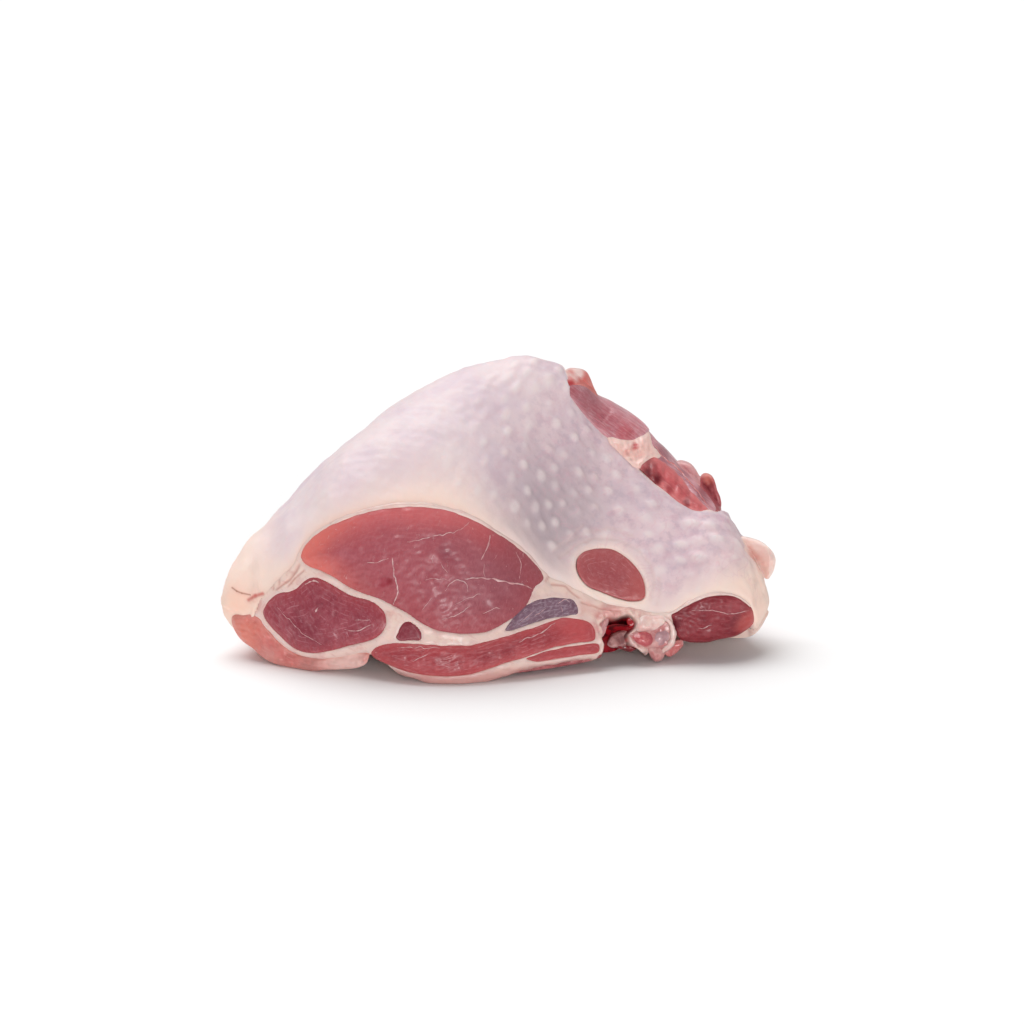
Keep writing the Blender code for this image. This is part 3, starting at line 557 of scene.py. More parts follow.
def make_skin(finish):
    """The skin: outer face, rolled free edges and inner face as one ring at each section.

    The outer face is the form, raised by the follicles and by slow waves, let down towards the
    cut, and let in round the oval opening. Its free edge dips at the broad end. The inner face
    lies SKIN_THICK under it, less near the edges.
    """
    x = columns(LENGTH_LEFT + 0.06, LENGTH_RIGHT - 0.06, SKIN_COLUMNS,
                [(16.5, 4, 1.2), (16.4, 0.7, 6)])
    start, end = skin_start(x), skin_end(x)
    u = np.concatenate([rows((start, end, SKIN_ROWS - 1)), end[:, None]], 1)
    outer = leg_surface(x, u)
    normal = outward(outer)
    run = steps(outer)
    from_rim, from_end = run, run[:, -1:] - run
    along, deep, high = outer[..., 0], outer[..., 1], outer[..., 2]
    pimple = follicles(outer, 61)
    strong = (smooth(along - 0.5 * high, -52, -24) * (1 - 0.5 * smooth(along, 54, 66))
              * smooth(from_rim, 2, 9) * smooth(deep, 24, 6) * smooth(from_end, 0.5, 3))
    pimple = pimple * (0.08 + 0.92 * strong)
    opening = np.full(along.shape, FAR_OUT)
    beside = (along > 8) & (along < 46) & (high < 38) & (deep < 0)
    opening[beside] = inside(outline(OVAL, 200), along[beside], high[beside])
    height = (0.4 * waves(outer, 24, 3) + 0.14 * waves(outer, 8, 4)) * smooth(from_rim, 0, 6)
    tall = FOLLICLE_LOW + FOLLICLE_MORE * smooth(along, -5, 25)
    height += tall * pimple * (1 - near(-opening - 1, 2))
    height += 0.05 * waves(outer, 2.6, 5) - 0.4 * near(from_rim, 0.7)
    height += 0.35 * hill(opening, -0.9, 0.8, 1) - OPENING_DROP * smooth(opening, -0.25, 0.7)
    height -= EDGE_DROP * near(from_end, 2) * smooth(along, 51, 55)
    deep_groove, crease = grooves(NOSE_CREASES, outer, deep < -6)
    fold_groove, fold = grooves(SKIN_FOLDS, outer, deep < 2)
    height -= deep_groove + fold_groove
    outer = outer + normal * height[..., None]

    pick = np.round(np.linspace(1, 0, INNER_ROWS) * (SKIN_ROWS - 1)).astype(int)
    thick = SKIN_THICK - 1.0 * near(from_end, 3) - 0.9 * near(from_rim, 1.5)
    thick = thick * smooth(np.minimum(x - LENGTH_LEFT, LENGTH_RIGHT - x), -1, 4)[:, None]
    inner = (outer - normal * thick[..., None])[:, pick]

    def roll(edge, beyond, back):
        """Half a circle from the outer face to the inner one, round a free edge."""
        way = outer[:, edge] - outer[:, beyond]
        way /= np.linalg.norm(way, axis=1, keepdims=True) + 1e-9
        turn = np.linspace(0, math.pi, ROLL_ROWS + 2)[1:-1][::back]
        size = thick[:, edge][:, None, None] * 0.5
        return (outer[:, edge][:, None] + way[:, None] * np.sin(turn)[None, :, None] * size
                - normal[:, edge][:, None] * (1 - np.cos(turn))[None, :, None] * size)

    ring = np.concatenate([outer, roll(-1, -3, 1), inner, roll(0, 2, -1)], 1)
    cream = (near(from_rim, 4.5) * (0.55 + 0.45 * smooth(along, 34, 46) + 0.35 * smooth(along, 5, -10))
             + 0.95 * (1 - smooth(along + 0.4 * high, -55, -36)) + 0.8 * near(-opening, 1.6)
             + 0.75 * smooth(along, 47, 64) * near(from_rim, 14)
             + 0.8 * smooth(along, 57, 63) * (1 - smooth(high, 16, 27))
             + 0.4 * hill(along, -15, 14, 1) * hill(from_rim, 4, 9, 1))
    shade = {"cream": np.clip(cream, 0, 1), "pimple": pimple, "edge": near(from_end, 0.5),
             "cool": smooth(along - 0.35 * high, -36, 0) * smooth(from_rim, 1, 7)
             * (1 - 0.55 * smooth(high, 50, 68)),
             # painted shade: the valley between the thigh and the oval opening, where shade falls in
             # the dent
             "valley_painted_shade": hill(np.hypot(along - 12, (high - 33) * 0.9), 0, 15, 1) * smooth(from_rim, 1, 4),
             "peach": near(from_rim, 1.3) * smooth(along, 15, -20) * smooth(along, -60, -48),
             "crease": crease, "fold": fold, "blush": hill(np.hypot(along + 64, high - 13), 0, 6, 1)
             + hill(np.hypot(along - 64, high - 12), 0, 8, 0.5)}
    filler = {"cream": 1.0, "edge": 0.6}
    pads = ring.shape[1] - SKIN_ROWS
    shades = {key: [np.concatenate([value, np.full((len(x), pads), filler.get(key, 0.0))], 1)]
              for key, value in shade.items()}
    return add_piece("skin_face", [ring], finish, ["skin"], shades)


CUT_MUSCLES = [THIGH, ROUND, SMALL, SLATE, UNDER, LOBE, OVAL, END, FLAP, KNUCKLE]
# Fine creases in the fat: each a line (x, z), its depth and its width.
FAT_CREASES = [([(10.9, 20.9), (13.7, 23.5), (16.5, 22)], 0.2, 0.25),
               ([(12.5, 20), (15.8, 19.2), (17.6, 17.6), (19.1, 16.4)], 0.22, 0.25),
               ([(19.6, 15.4), (24, 13.6), (29, 12.6)], 0.25, 0.3),
               ([(-53.5, 18.6), (-50, 21.5), (-47.9, 24.9)], 0.3, 0.35),
               ([(-54.2, 18.4), (-54.9, 19.9), (-53.9, 21.3), (-52.7, 20.9), (-52.6, 19.7)], 0.3, 0.3),
               ([(-50.5, 19.8), (-48.5, 22.3), (-46.6, 23.9)], 0.2, 0.25)]
FACE_COLUMNS, FACE_ROWS = 400, 170
FAT_FOOT, FACE_LOW, FACE_TOP = -2.4, -0.7, 2.25       # places round a section
MUSCLE_DROP, HOLLOW_DROP, END_DROP = 1.6, 6.0, 5.5    # how far the fat is let in there


def chord(grid, count):
    """Rows that close each section of a grid by a straight line from its last row to its first."""
    share = (np.arange(1, count + 1) / (count + 1))[None, :, None]
    return grid[:, -1:] * (1 - share) + grid[:, :1] * share


def make_fat(finish):
    """The fat: the form's face from the sole to the skin, let in under the skin and the muscles.

    Inside a muscle's outline it drops by MUSCLE_DROP over the first millimetre, and outside it
    swells to a low lip. In the hollow it drops by HOLLOW_DROP, and under the last muscle by
    END_DROP. Its foot is drawn up at both ends of the lower strip and under the last muscle.
    """
    x = columns(LENGTH_LEFT + 0.5, LENGTH_RIGHT - 0.5, FACE_COLUMNS, [(28, 5, 0.8)])
    start, end = skin_start(x), skin_end(x)
    same = np.ones_like(x)
    u = rows((FAT_FOOT * same, FACE_LOW * same, 12), (FACE_LOW * same, FACE_TOP * same, FACE_ROWS),
             (FACE_TOP * same, np.maximum(end - 0.05, FACE_TOP + 0.15), 14))
    grid = leg_surface(x, u)
    along, high = grid[..., 0], grid[..., 2]
    drawn_up = hill(along, -29.5, 4, 2.6) + hill(along, 28.5, 5, 1.6) + hill(along, 51.5, 7, 2)
    grid[..., 2] += drawn_up * (1 - smooth(high, 1.5, 7)) * (u < 1.5)
    high = grid[..., 2]
    normal = outward(grid)
    face = (u > FACE_LOW - 0.02) & (u < FACE_TOP + 0.05)
    within, hollow = np.full(u.shape, FAR_OUT), np.full(u.shape, FAR_OUT)
    for points in CUT_MUSCLES:
        within[face] = np.maximum(within[face], inside(outline(points, 160), along[face], high[face]))
    hollow[face] = inside(outline(HOLLOW, 100), along[face], high[face])
    under_skin = smooth(u, start[:, None] + 0.01, start[:, None] + 0.12)
    relief = 0.14 * waves(grid, 6, 21) + 0.06 * waves(grid, 2.2, 22)
    height = (relief + 0.12 * hill(within, -0.6, 0.6, 1)) * face
    height -= MUSCLE_DROP * smooth(within, -0.05, 0.9) + HOLLOW_DROP * smooth(hollow, -0.15, 1.4)
    height -= (SKIN_THICK + 0.25) * under_skin
    beneath = smooth(along, 40.5, 43) * (1 - smooth(along, 61.5, 64)) * (1 - smooth(high, 5, 9))
    height -= END_DROP * beneath * face
    height += 0.35 * hill(hollow, -0.7, 0.7, 1) * (1 + waves(grid, 1.9, 23))
    groove, crease = grooves(FAT_CREASES, grid, face)
    grid = grid + normal * (height - groove)[..., None]
    ring = np.concatenate([grid, chord(grid, 3)], 1)
    pads = np.zeros((len(x), 3))
    shade = {"seam": hill(within, -0.4, 0.5, 1), "hollow": smooth(hollow, -0.3, 0.5),
             "crease": crease, "under": 1 - smooth(high, 1.2, 4.2),
             "ragged": hill(hollow, -1.2, 1.4, 1) * (hollow < 0)}
    shades = {key: [np.concatenate([value, pads], 1)] for key, value in shade.items()}
    return add_piece("fat_face", [ring], finish, ["fat_core"], shades)


BUNDLE = 13.0                           # between the furrows of the meat at the back
FURROW_WIDTH, FURROW_DEPTH = 0.27, 0.6  # a share of the bundle's half wave, and millimetres
MEAT_START, MEAT_RISE = 1.7, 1.2        # how far under the form it starts, and how far it rises


def make_back(finish):
    """The meat at the back: the form from under the skin's free edge down to the sole.

    It starts MEAT_START under the form, rises by MEAT_RISE, and carries slow furrows that run
    down between its bundles.
    """
    x = columns(LENGTH_LEFT + 3.5, LENGTH_RIGHT - 0.7, 320, [(16.5, 4, 1.5)])
    end = skin_end(x)
    same = np.ones_like(x)
    u = rows((end - 0.14, end + 0.9, 76), (end + 0.9, SOLE_AT * same, 64))
    grid = leg_surface(x, u)
    normal = outward(grid)
    past = steps(grid) - 1
    bundles = grid[..., 0] + 0.25 * grid[..., 1] + 3.2 * waves(grid * [1, 0.5, 0.7], 24, 31)
    furrow = np.exp(-((np.sin(math.pi * bundles / BUNDLE) / FURROW_WIDTH) ** 2))
    furrow = furrow * smooth(waves(grid, 30, 34), -0.9, 0.5)
    height = (-MEAT_START + MEAT_RISE * smooth(past, 1.5, 9) + 0.3 * waves(grid, 14, 32)
              - FURROW_DEPTH * furrow * smooth(past, 1, 6) + 0.07 * waves(grid, 2.2, 33))
    grid = grid + normal * height[..., None]
    ring = np.concatenate([grid, chord(grid, 3)], 1)
    shades = {"furrow": [np.concatenate([furrow, np.zeros((len(x), 3))], 1)]}
    return add_piece("back_face", [ring], finish, ["back_meat"], shades)


RIM_DIP, RIM_SOFT = 0.16, 0.35          # how far a muscle is let back at its outline, and over what
MUSCLE_SEED, STRAND_SEED = 40, 70       # the first seeds of the muscles and of their strands


class Muscle:
    """A cut muscle or a lobe: its outline on the face of the joint, and its own surface there."""

    def __init__(self, points, bulge, depth, seed, back, grain, rough):
        self.edge = outline(points, 220)
        self.bulge, self.depth, self.seed = bulge, depth, seed
        self.back, self.grain, self.rough = back, grain, rough
        low, high = self.edge.min(0), self.edge.max(0)
        x, z = np.meshgrid(np.linspace(low[0], high[0], 40), np.linspace(low[1], high[1], 40))
        self.reach = 0.32 * inside(self.edge, x, z).max() + 0.15
        self.low, self.high = low, high

    def face(self, x, z):
        """y of the surface: the form's front, less the lift, the swells and the grain.

        The lift is bulge times 1 - e to the minus (distance from the outline) / reach, let back
        a little at the outline itself. The grain is a sine across its angle.
        """
        away = np.maximum(inside(self.edge, x, z), 0)
        place = np.stack([x, z], -1)
        lift = self.bulge * (1 - np.exp(-away / self.reach)) - RIM_DIP * np.exp(-away / RIM_SOFT)
        swell = self.rough * (waves(place, 5, self.seed) + 0.4 * waves(place, 1.8, self.seed + 1))
        if self.grain:
            angle, size, deep = self.grain
            across = (z * math.cos(math.radians(angle)) - x * math.sin(math.radians(angle)))
            across = across + 0.5 * waves(place, 7, self.seed + 2)
            swell = swell + deep * np.sin(2 * math.pi * across / size) * (
                1 + 0.5 * waves(place, 4, self.seed + 3))
        return front_depth(x, z) + self.back - lift - swell * smooth(away, 0, 1.2)

    def grid(self, sections, fronts):
        """A ring at each x: up the face from the outline's lower side, and round the back."""
        x = columns(self.low[0] + 0.01, self.high[0] - 0.01, sections, (), 2.7)
        left, right = self.edge[:, 0].argmin(), self.edge[:, 0].argmax()
        edge = np.roll(self.edge, -left, 0)
        right = (right - left) % len(edge)
        sides = [edge[:right + 1], np.concatenate([edge[right:], edge[:1]])[::-1]]
        heights = sorted((np.interp(x, np.maximum.accumulate(side[:, 0]), side[:, 1])
                          for side in sides), key=np.mean)
        low, high = heights[0][:, None], heights[1][:, None]
        share = np.linspace(0, 1, fronts)
        share = (0.55 * share + 0.225 * (1 - np.cos(math.pi * share)))[None]
        z = low + (high - low) * share
        along = np.broadcast_to(x[:, None], z.shape)
        y = self.face(along, z)
        turn = np.linspace(0, math.pi, 12)[1:-1][None]
        back_z = (low + high) / 2 + (high - low) / 2 * 0.96 * np.cos(turn)
        middle, half = (self.low[0] + self.high[0]) / 2, (self.high[0] - self.low[0]) / 2
        depth = 0.3 + self.depth * (1 - np.abs((x - middle) / half) ** 3)[:, None]
        rim = y[:, -1:] + (y[:, :1] - y[:, -1:]) * turn / math.pi
        back = np.stack([np.broadcast_to(x[:, None], back_z.shape),
                         rim + depth * np.sin(turn) ** 0.7, back_z], -1)
        return np.concatenate([np.stack([along, y, z], -1), back], 1)


def make_muscle(name, muscle, finish, sections, fronts, replaced):
    """One muscle or lobe, shaded by how near its outline lies."""
    grid = muscle.grid(sections, fronts)
    away = np.zeros(grid.shape[:2])
    away[:, :fronts] = np.maximum(inside(muscle.edge, grid[:, :fronts, 0], grid[:, :fronts, 2]), 0)
    return add_piece(name, [grid], finish, replaced,
                     {"rim": [near(away, 1.5)], "depth": [away]})


def tube(path, radii, sides=6, flat=0.6):
    """A closed tube along a path (n, 3) with its own radius at each point, flattened along y."""
    way = np.gradient(path, axis=0)
    way /= np.linalg.norm(way, axis=1, keepdims=True) + 1e-9
    side = np.cross(way, [0.0, 1.0, 0.0])
    side /= np.linalg.norm(side, axis=1, keepdims=True) + 1e-9
    turn = np.linspace(0, 2 * math.pi, sides, endpoint=False)
    return (path[:, None] + side[:, None] * (radii[:, None] * np.cos(turn))[..., None]
            + np.array([0, 1.0, 0]) * (radii[:, None] * flat * np.sin(turn))[..., None])


def strands(muscle, lines, width, seed, lift, ragged):
    """Tubes of connective tissue half sunk in a muscle's face, thin at their ends.

    ragged is how much their width wavers, and a third of it how much their line does.
    """
    draw = np.random.default_rng(seed)
    grids = []
    for line, scale in lines:
        line = np.array(line, float)
        run = np.concatenate([[0], np.cumsum(np.linalg.norm(np.diff(line, axis=0), axis=1))])
        count = max(8, int(run[-1] / 0.35))
        at = np.linspace(0, run[-1], count)
        place = through(np.concatenate([run[:, None], line], 1), at)
        place = place + 0.37 * ragged * waves(place, 1.8, seed + len(grids))[:, None] * [0.5, 1]
        ends = np.sin(np.linspace(0.08, 0.92, count) * math.pi) ** 0.6
        uneven = 0.75 + ragged * waves(place, 1.2, seed + 50)
        radius = width * scale * np.clip(ends * uneven, 0.12, 1.3) * draw.uniform(0.85, 1.1)
        y = muscle.face(place[:, 0], place[:, 1]) + 0.25 * radius - lift
        grids.append(tube(np.stack([place[:, 0], y, place[:, 1]], -1), radius))
    return grids


# ---- finishes ------------------------------------------------------------------------------------
class Value:
    """A shader socket that adds a Math node when it is used in a sum or a product."""

    def __init__(self, finish, socket):
        self.finish, self.socket = finish, socket

    def math(self, operation, first, second=0.0, clamp=False):
        settings = {"operation": operation, "use_clamp": clamp}
        return self.finish.node("ShaderNodeMath", settings, {0: first, 1: second}, "Value")

    def __add__(self, other):
        return self.math("ADD", self, other)

    def __sub__(self, other):
        return self.math("SUBTRACT", self, other)

    def __rsub__(self, other):
        return self.math("SUBTRACT", other, self)

    def __mul__(self, other):
        return self.math("MULTIPLY", self, other)

    __radd__, __rmul__ = __add__, __mul__

    def clamped(self):
        return self.math("ADD", self, 0.0, clamp=True)

    def size(self):
        return self.math("ABSOLUTE", self)

    def sine(self):
        return self.math("SINE", self)

    def between(self, low, high):
        """0 below low and 1 above high, smoothly."""
        return self.finish.node("ShaderNodeMapRange", {"interpolation_type": "SMOOTHSTEP"},
                                {"Value": self, "From Min": low, "From Max": high}, "Result")


class Finish:
    """A material, and short ways to add nodes to it."""

    def __init__(self, name, **constants):
        self.material = bpy.data.materials.new(name)
        self.material.use_nodes = True
        self.tree = self.material.node_tree
        self.shader = self.tree.nodes["Principled BSDF"]
        for key, value in constants.items():
            self.shader.inputs[key.replace("_", " ")].default_value = value
        self.place = self.node("ShaderNodeTexCoord", {}, {}, "Object")

    def node(self, kind, settings, values, output):
        """A node with its settings, then its sockets' values or links. Returns one output."""
        made = self.tree.nodes.new(kind)
        for key, value in settings.items():
            setattr(made, key, value)
        for key, value in values.items():
            socket = made.inputs[key] if isinstance(key, int) else self.find(made.inputs, key)
            if isinstance(value, Value):
                self.tree.links.new(value.socket, socket)
            else:
                socket.default_value = value
        return Value(self, self.find(made.outputs, output))

    @staticmethod
    def find(sockets, key):
        """The socket with that identifier or, failing that, that name."""
        for socket in sockets:
            if socket.identifier == key:
                return socket
        return sockets[key]

    def vector(self, operation, first, second, output="Vector"):
        """A Vector Math node. SCALE takes its second value as the factor."""
        key = "Scale" if operation == "SCALE" else 1
        return self.node("ShaderNodeVectorMath", {"operation": operation}, {0: first, key: second},
                         output)

    def along(self, axis):
        """The object coordinate along X, Y or Z, in millimetres."""
        return self.node("ShaderNodeSeparateXYZ", {}, {"Vector": self.place}, axis) * 1000

    def flat(self):
        """Object coordinates with a y of 0, as they are seen from the front."""
        return self.vector("MULTIPLY", self.place, (1, 0, 1))

    def feed(self, name, value):
        self.tree.links.new(value.socket, self.shader.inputs[name])

    def stretched(self, size, turn=0):
        """Object coordinates times size along each axis, where the axes turn about y, in degrees."""
        shrink = tuple(1 / value for value in size)
        return self.node("ShaderNodeMapping", {"vector_type": "TEXTURE"}, {
            "Vector": self.place, "Rotation": (0, math.radians(turn), 0), "Scale": shrink}, "Vector")

    def noise(self, size_mm, detail=3.0, roughness=0.5, place=None, distortion=0.0):
        """Noise from 0 to 1 whose cells are size_mm across."""
        return self.node("ShaderNodeTexNoise", {}, {
            "Vector": place or self.place, "Scale": 1000 / size_mm, "Detail": detail,
            "Roughness": roughness, "Distortion": distortion}, "Fac")

    def shade(self, name):
        return self.node("ShaderNodeAttribute", {"attribute_name": name}, {}, "Fac")

    def mix(self, share, low, high):
        """Colour low where share is 0, and high where it is 1. Fixed ones are screen values."""
        def colour(value):
            return value if isinstance(value, Value) else (*rgb(*value), 1)

        return self.node("ShaderNodeMix", {"data_type": "RGBA"}, {
            "Factor_Float": share, "A_Color": colour(low), "B_Color": colour(high)},
            "Result_Color")

    def bump(self, height, depth_mm, strength=1.0):
        """Feeds the shader a normal bumped by a height that stands for depth_mm."""
        self.feed("Normal", self.node("ShaderNodeBump", {}, {
            "Height": height, "Distance": depth_mm * MM, "Strength": strength}, "Normal"))


def rgb(red, green, blue):
    """A colour given as screen values from 0 to 255, as the linear values that shaders use."""
    def linear(value):
        value = value / 255
        return value / 12.92 if value <= 0.04045 else ((value + 0.055) / 1.055) ** 2.4
    return linear(red), linear(green), linear(blue)


MEAT_GLOW = {"Subsurface_Weight": 0.2, "Subsurface_Radius": (1.0, 0.35, 0.25),
             "Subsurface_Scale": 0.0018, "Coat_Roughness": 0.2, "Specular_IOR_Level": 0.4}


def spotted(finish, colour, spots):
    """colour with soft round spots: each (x, z, radius, colour, share), seen from the front."""
    flat = finish.flat()
    for x, z, radius, tint, share in spots:
        centre = ((x + CENTRING[0]) * MM, 0, z * MM)
        away = finish.vector("DISTANCE", flat, centre, "Value") * (1000 / radius)
        ragged = away + finish.noise(1.4 * radius, 3) * 1.4 - 0.7
        colour = finish.mix((1 - ragged.between(0.15, 1.35)) * share, colour, tint)
    return colour


def lined(finish, colour, lines):
    """colour with thin lines: each (points (x, z), half its width, colour), seen from the front."""
    flat = finish.flat()
    front = 1 - finish.along("Y").between(-9, -5)
    for points, half, tint in lines:
        line = [np.array([x + CENTRING[0], 0, z]) * MM for x, z in points]
        for start, end in zip(line, line[1:]):
            way = end - start
            gap = finish.vector("SUBTRACT", flat, tuple(start))
            share = finish.vector("DOT_PRODUCT", gap, tuple(way / (way @ way)), "Value").clamped()
            foot = finish.vector("SCALE", tuple(way), share)
            away = finish.vector("DISTANCE", gap, foot, "Value") * (1000 / half)
            colour = finish.mix((1 - away.between(0, 1.7)) * front * 0.8, colour, tint)
    return colour


def meat(name, tints, grain=(1, 1, 1), turn=0, flecks=0.5, patch=9, spots=(), veil=0.16, ringed=0.3):
    """Cut muscle: deep and light in soft patches, rim near its outline, and pale flecks along it.

    tints are these four colours. The grain is stretched and turned, patch is the size of a patch
    in millimetres, and flecks, veil and ringed are how strong the flecks, fibres and arcs are.
    """
    finish = Finish(name, **MEAT_GLOW)
    deep, light, rim, pale = tints
    along = finish.stretched(grain, turn)
    patches = finish.noise(patch, 3, 0.6).between(0.34, 0.66)
    fibres = finish.noise(0.8, 5, 0.7, along)
    colour = finish.mix(patches, deep, light)
    colour = finish.mix((finish.shade("rim") * 1.1).clamped(), colour, rim)
    arcs = (finish.shade("depth") * 6 + finish.noise(6, 3) * 9).sine().between(0.72, 1)
    colour = finish.mix(arcs * finish.noise(2, 4).between(0.45, 0.62) * ringed, colour, pale)
    colour = finish.mix(fibres.between(0.42, 0.68) * veil, colour, pale)
    grains = finish.noise(1.3, 5, 0.75, along, 0.7).between(0.6, 0.68)
    sparse = finish.noise(5.5, 2, 0.5).between(0.44, 0.6)
    colour = finish.mix(grains * sparse * flecks, colour, pale)
    finish.feed("Base Color", spotted(finish, colour, spots))
    finish.feed("Roughness", finish.noise(2.5, 3) * 0.25 + 0.3)
    finish.feed("Coat Weight", finish.noise(4, 3).between(0.42, 0.66) * 0.35 + 0.05)
    finish.bump(fibres * 0.7 + finish.noise(0.35, 2, 0.5) * 0.25 + grains * 0.4, 0.16, 0.8)
    return finish


def thigh_finish():
    """The large muscle: warm along its upper left, mauve in the middle and pink below."""
    finish = Finish("thigh_cut", **MEAT_GLOW)
    x, z = finish.along("X"), finish.along("Z")
    away = finish.shade("depth")
    along = finish.stretched((1.5, 1, 0.6), 18)
    fibres = finish.noise(0.8, 5, 0.7, along)
    patches = finish.noise(10, 3, 0.6)
    left = (patches * 10 - x).between(33, 52)
    upper = (z + patches * 8).between(30, 45)
    outer = finish.mix(upper, (164, 72, 80), (204, 100, 102))
    outer = finish.mix(left, outer, (220, 110, 99))
    core = finish.mix((patches * 16 - x).between(4, 34), (152, 82, 92), (165, 77, 87))
    colour = finish.mix((away + patches * 7 - 3.5).between(0.3, 7.5), outer, core)
    colour = finish.mix((x + patches * 6).between(-2, 6) * 0.45, colour, (146, 70, 80))
    colour = finish.mix(fibres.between(0.4, 0.7) * 0.22, colour, (196, 126, 132))
    arcs = (away * 6.5 + finish.noise(7, 3) * 9).sine().between(0.7, 1)
    colour = finish.mix(arcs * upper * finish.noise(2.2, 4).between(0.42, 0.6) * 0.4, colour,
                        (206, 122, 124))
    grains = finish.noise(1.2, 5, 0.75, along, 0.8).between(0.6, 0.68)
    sparse = finish.noise(6, 2, 0.5).between(0.42, 0.6)
    colour = finish.mix(grains * sparse * 0.6, colour, (222, 168, 170))
    spots = [(-25.9, 23.1, 1.1, (132, 12, 34), 1.0), (-27.4, 22.8, 1.5, (160, 50, 66), 0.6),
             (-12.5, 29.8, 2.2, (134, 58, 72), 0.6), (-10.3, 28.2, 1.6, (134, 58, 72), 0.4)]
    finish.feed("Base Color", spotted(finish, colour, spots))
    finish.feed("Roughness", finish.noise(2.5, 3) * 0.25 + 0.32)
    finish.feed("Coat Weight", finish.noise(4, 3).between(0.42, 0.66) * 0.3 + 0.04)
    finish.bump(fibres * 0.7 + finish.noise(0.35, 2) * 0.25 + grains * 0.4, 0.15, 0.8)
    return finish


def skin_finish():
    """Plucked skin: cream along the cut, lilac over the meat, pale tops on the goose bumps, and
    painted shade darkening the valley beside the thigh.
    """
    finish = Finish("plucked_skin", Subsurface_Weight=0.25, Subsurface_Radius=(1.0, 0.5, 0.4),
                    Subsurface_Scale=0.0022, Coat_Weight=0.05, Coat_Roughness=0.4,
                    Specular_IOR_Level=0.3)
    patches = finish.noise(13, 4, 0.55).between(0.36, 0.64)
    blotches = finish.noise(5.5, 4, 0.6)
    plain = finish.mix(patches, (228, 210, 212), (218, 198, 206))
    cool = finish.mix(patches, (226, 200, 205), (212, 188, 196))
    over_meat = finish.shade("cool")
    colour = finish.mix(over_meat, plain, cool)
    mottle = finish.noise(2.6, 4, 0.65)
    for share, tint in ((blotches.between(0.5, 0.66) * 0.5, (202, 164, 178)),
                        (mottle.between(0.5, 0.64) * 0.4, (186, 164, 178)),
                        ((1 - mottle.between(0.36, 0.5)) * 0.3, (226, 208, 210))):
        colour = finish.mix(share * over_meat, colour, tint)
    # Painted shade: the valley beside the thigh darkened to a grey lilac, where shade falls in the
    # dent.
    colour = finish.mix(finish.shade("valley_painted_shade") * 0.8, colour, (176, 160, 165))
    cream = (finish.shade("cream") * 1.1 + finish.noise(7, 3) * 0.3 - 0.18).clamped()
    colour = finish.mix(cream, colour, (246, 220, 208))
    colour = finish.mix(finish.shade("pimple").between(0.15, 1) * 0.62, colour, (232, 219, 217))
    for name, share, tint in (("blush", 0.7, (250, 200, 178)), ("peach", 0.6, (228, 174, 160)),
                              ("fold", 0.3, (214, 186, 182)), ("crease", 0.25, (214, 150, 138))):
        colour = finish.mix(finish.shade(name) * share, colour, tint)
    colour = lined(finish, colour, [
        ([(-64.8, 16.9), (-63.6, 16.3), (-62.3, 16), (-60.2, 15.8)], 0.2, (180, 124, 106)),
        ([(-60.6, 14.6), (-58.9, 15.8), (-57, 16.6)], 0.42, (208, 112, 104))])
    colour = finish.mix(finish.shade("edge"), colour, (238, 214, 208))
    veins = finish.noise(9, 3, 0.6, finish.stretched((0.5, 1, 1.3), -30), 1.0)
    thin = 1 - (veins - 0.5).size().between(0, 0.02)
    colour = finish.mix(thin * over_meat * 0.26, colour, (214, 168, 180))
    finish.feed("Base Color", colour)
    finish.feed("Roughness", finish.noise(4, 3) * 0.2 + 0.46)
    wrinkles = finish.noise(1.6, 4, 0.6, finish.stretched((1, 1, 0.6), 15))
    finish.bump(wrinkles * 0.8 + finish.noise(0.5, 3, 0.6) * 0.3, 0.16, 0.55)
    return finish


def fat_finish():
    """Fat and membranes: cream, whiter along the seams, pink below and dark red in the hollow."""
    finish = Finish("fat_and_membrane", Subsurface_Weight=0.25, Subsurface_Radius=(1.0, 0.5, 0.35),
                    Subsurface_Scale=0.002, Coat_Weight=0.25, Coat_Roughness=0.2,
                    Specular_IOR_Level=0.45)
    patches = finish.noise(5, 4, 0.6)
    colour = finish.mix(patches.between(0.5, 0.72), (233, 204, 193), (216, 166, 158))
    colour = finish.mix(finish.shade("seam") * 0.6, colour, (224, 192, 187))
    threads = finish.noise(1.0, 4, 0.6, finish.stretched((0.3, 1, 1.5), 28))
    colour = finish.mix(threads.between(0.58, 0.68) * 0.3, colour, (202, 142, 134))
    colour = finish.mix(finish.shade("under") * 0.7, colour, (198, 132, 128))
    colour = finish.mix(finish.shade("crease") * 0.55, colour, (196, 128, 116))
    colour = finish.mix(finish.shade("ragged") * patches.between(0.4, 0.6) * 0.5, colour,
                        (196, 100, 100))
    raw = finish.mix(finish.noise(1.8, 3).between(0.42, 0.6), (84, 3, 13), (162, 13, 29))
    colour = finish.mix(finish.shade("hollow"), colour, raw)
    spots = [(26.4, 12.9, 2.6, (218, 160, 154), 0.7), (20.6, 14.4, 2, (222, 174, 166), 0.6),
             (37.5, 10.2, 1.3, (214, 152, 150), 0.8)]
    finish.feed("Base Color", spotted(finish, colour, spots))
    finish.feed("Roughness", finish.noise(3, 3) * 0.25 + 0.3)
    finish.bump(threads * 0.6 + finish.noise(0.6, 3) * 0.4, 0.14, 0.6)
    return finish


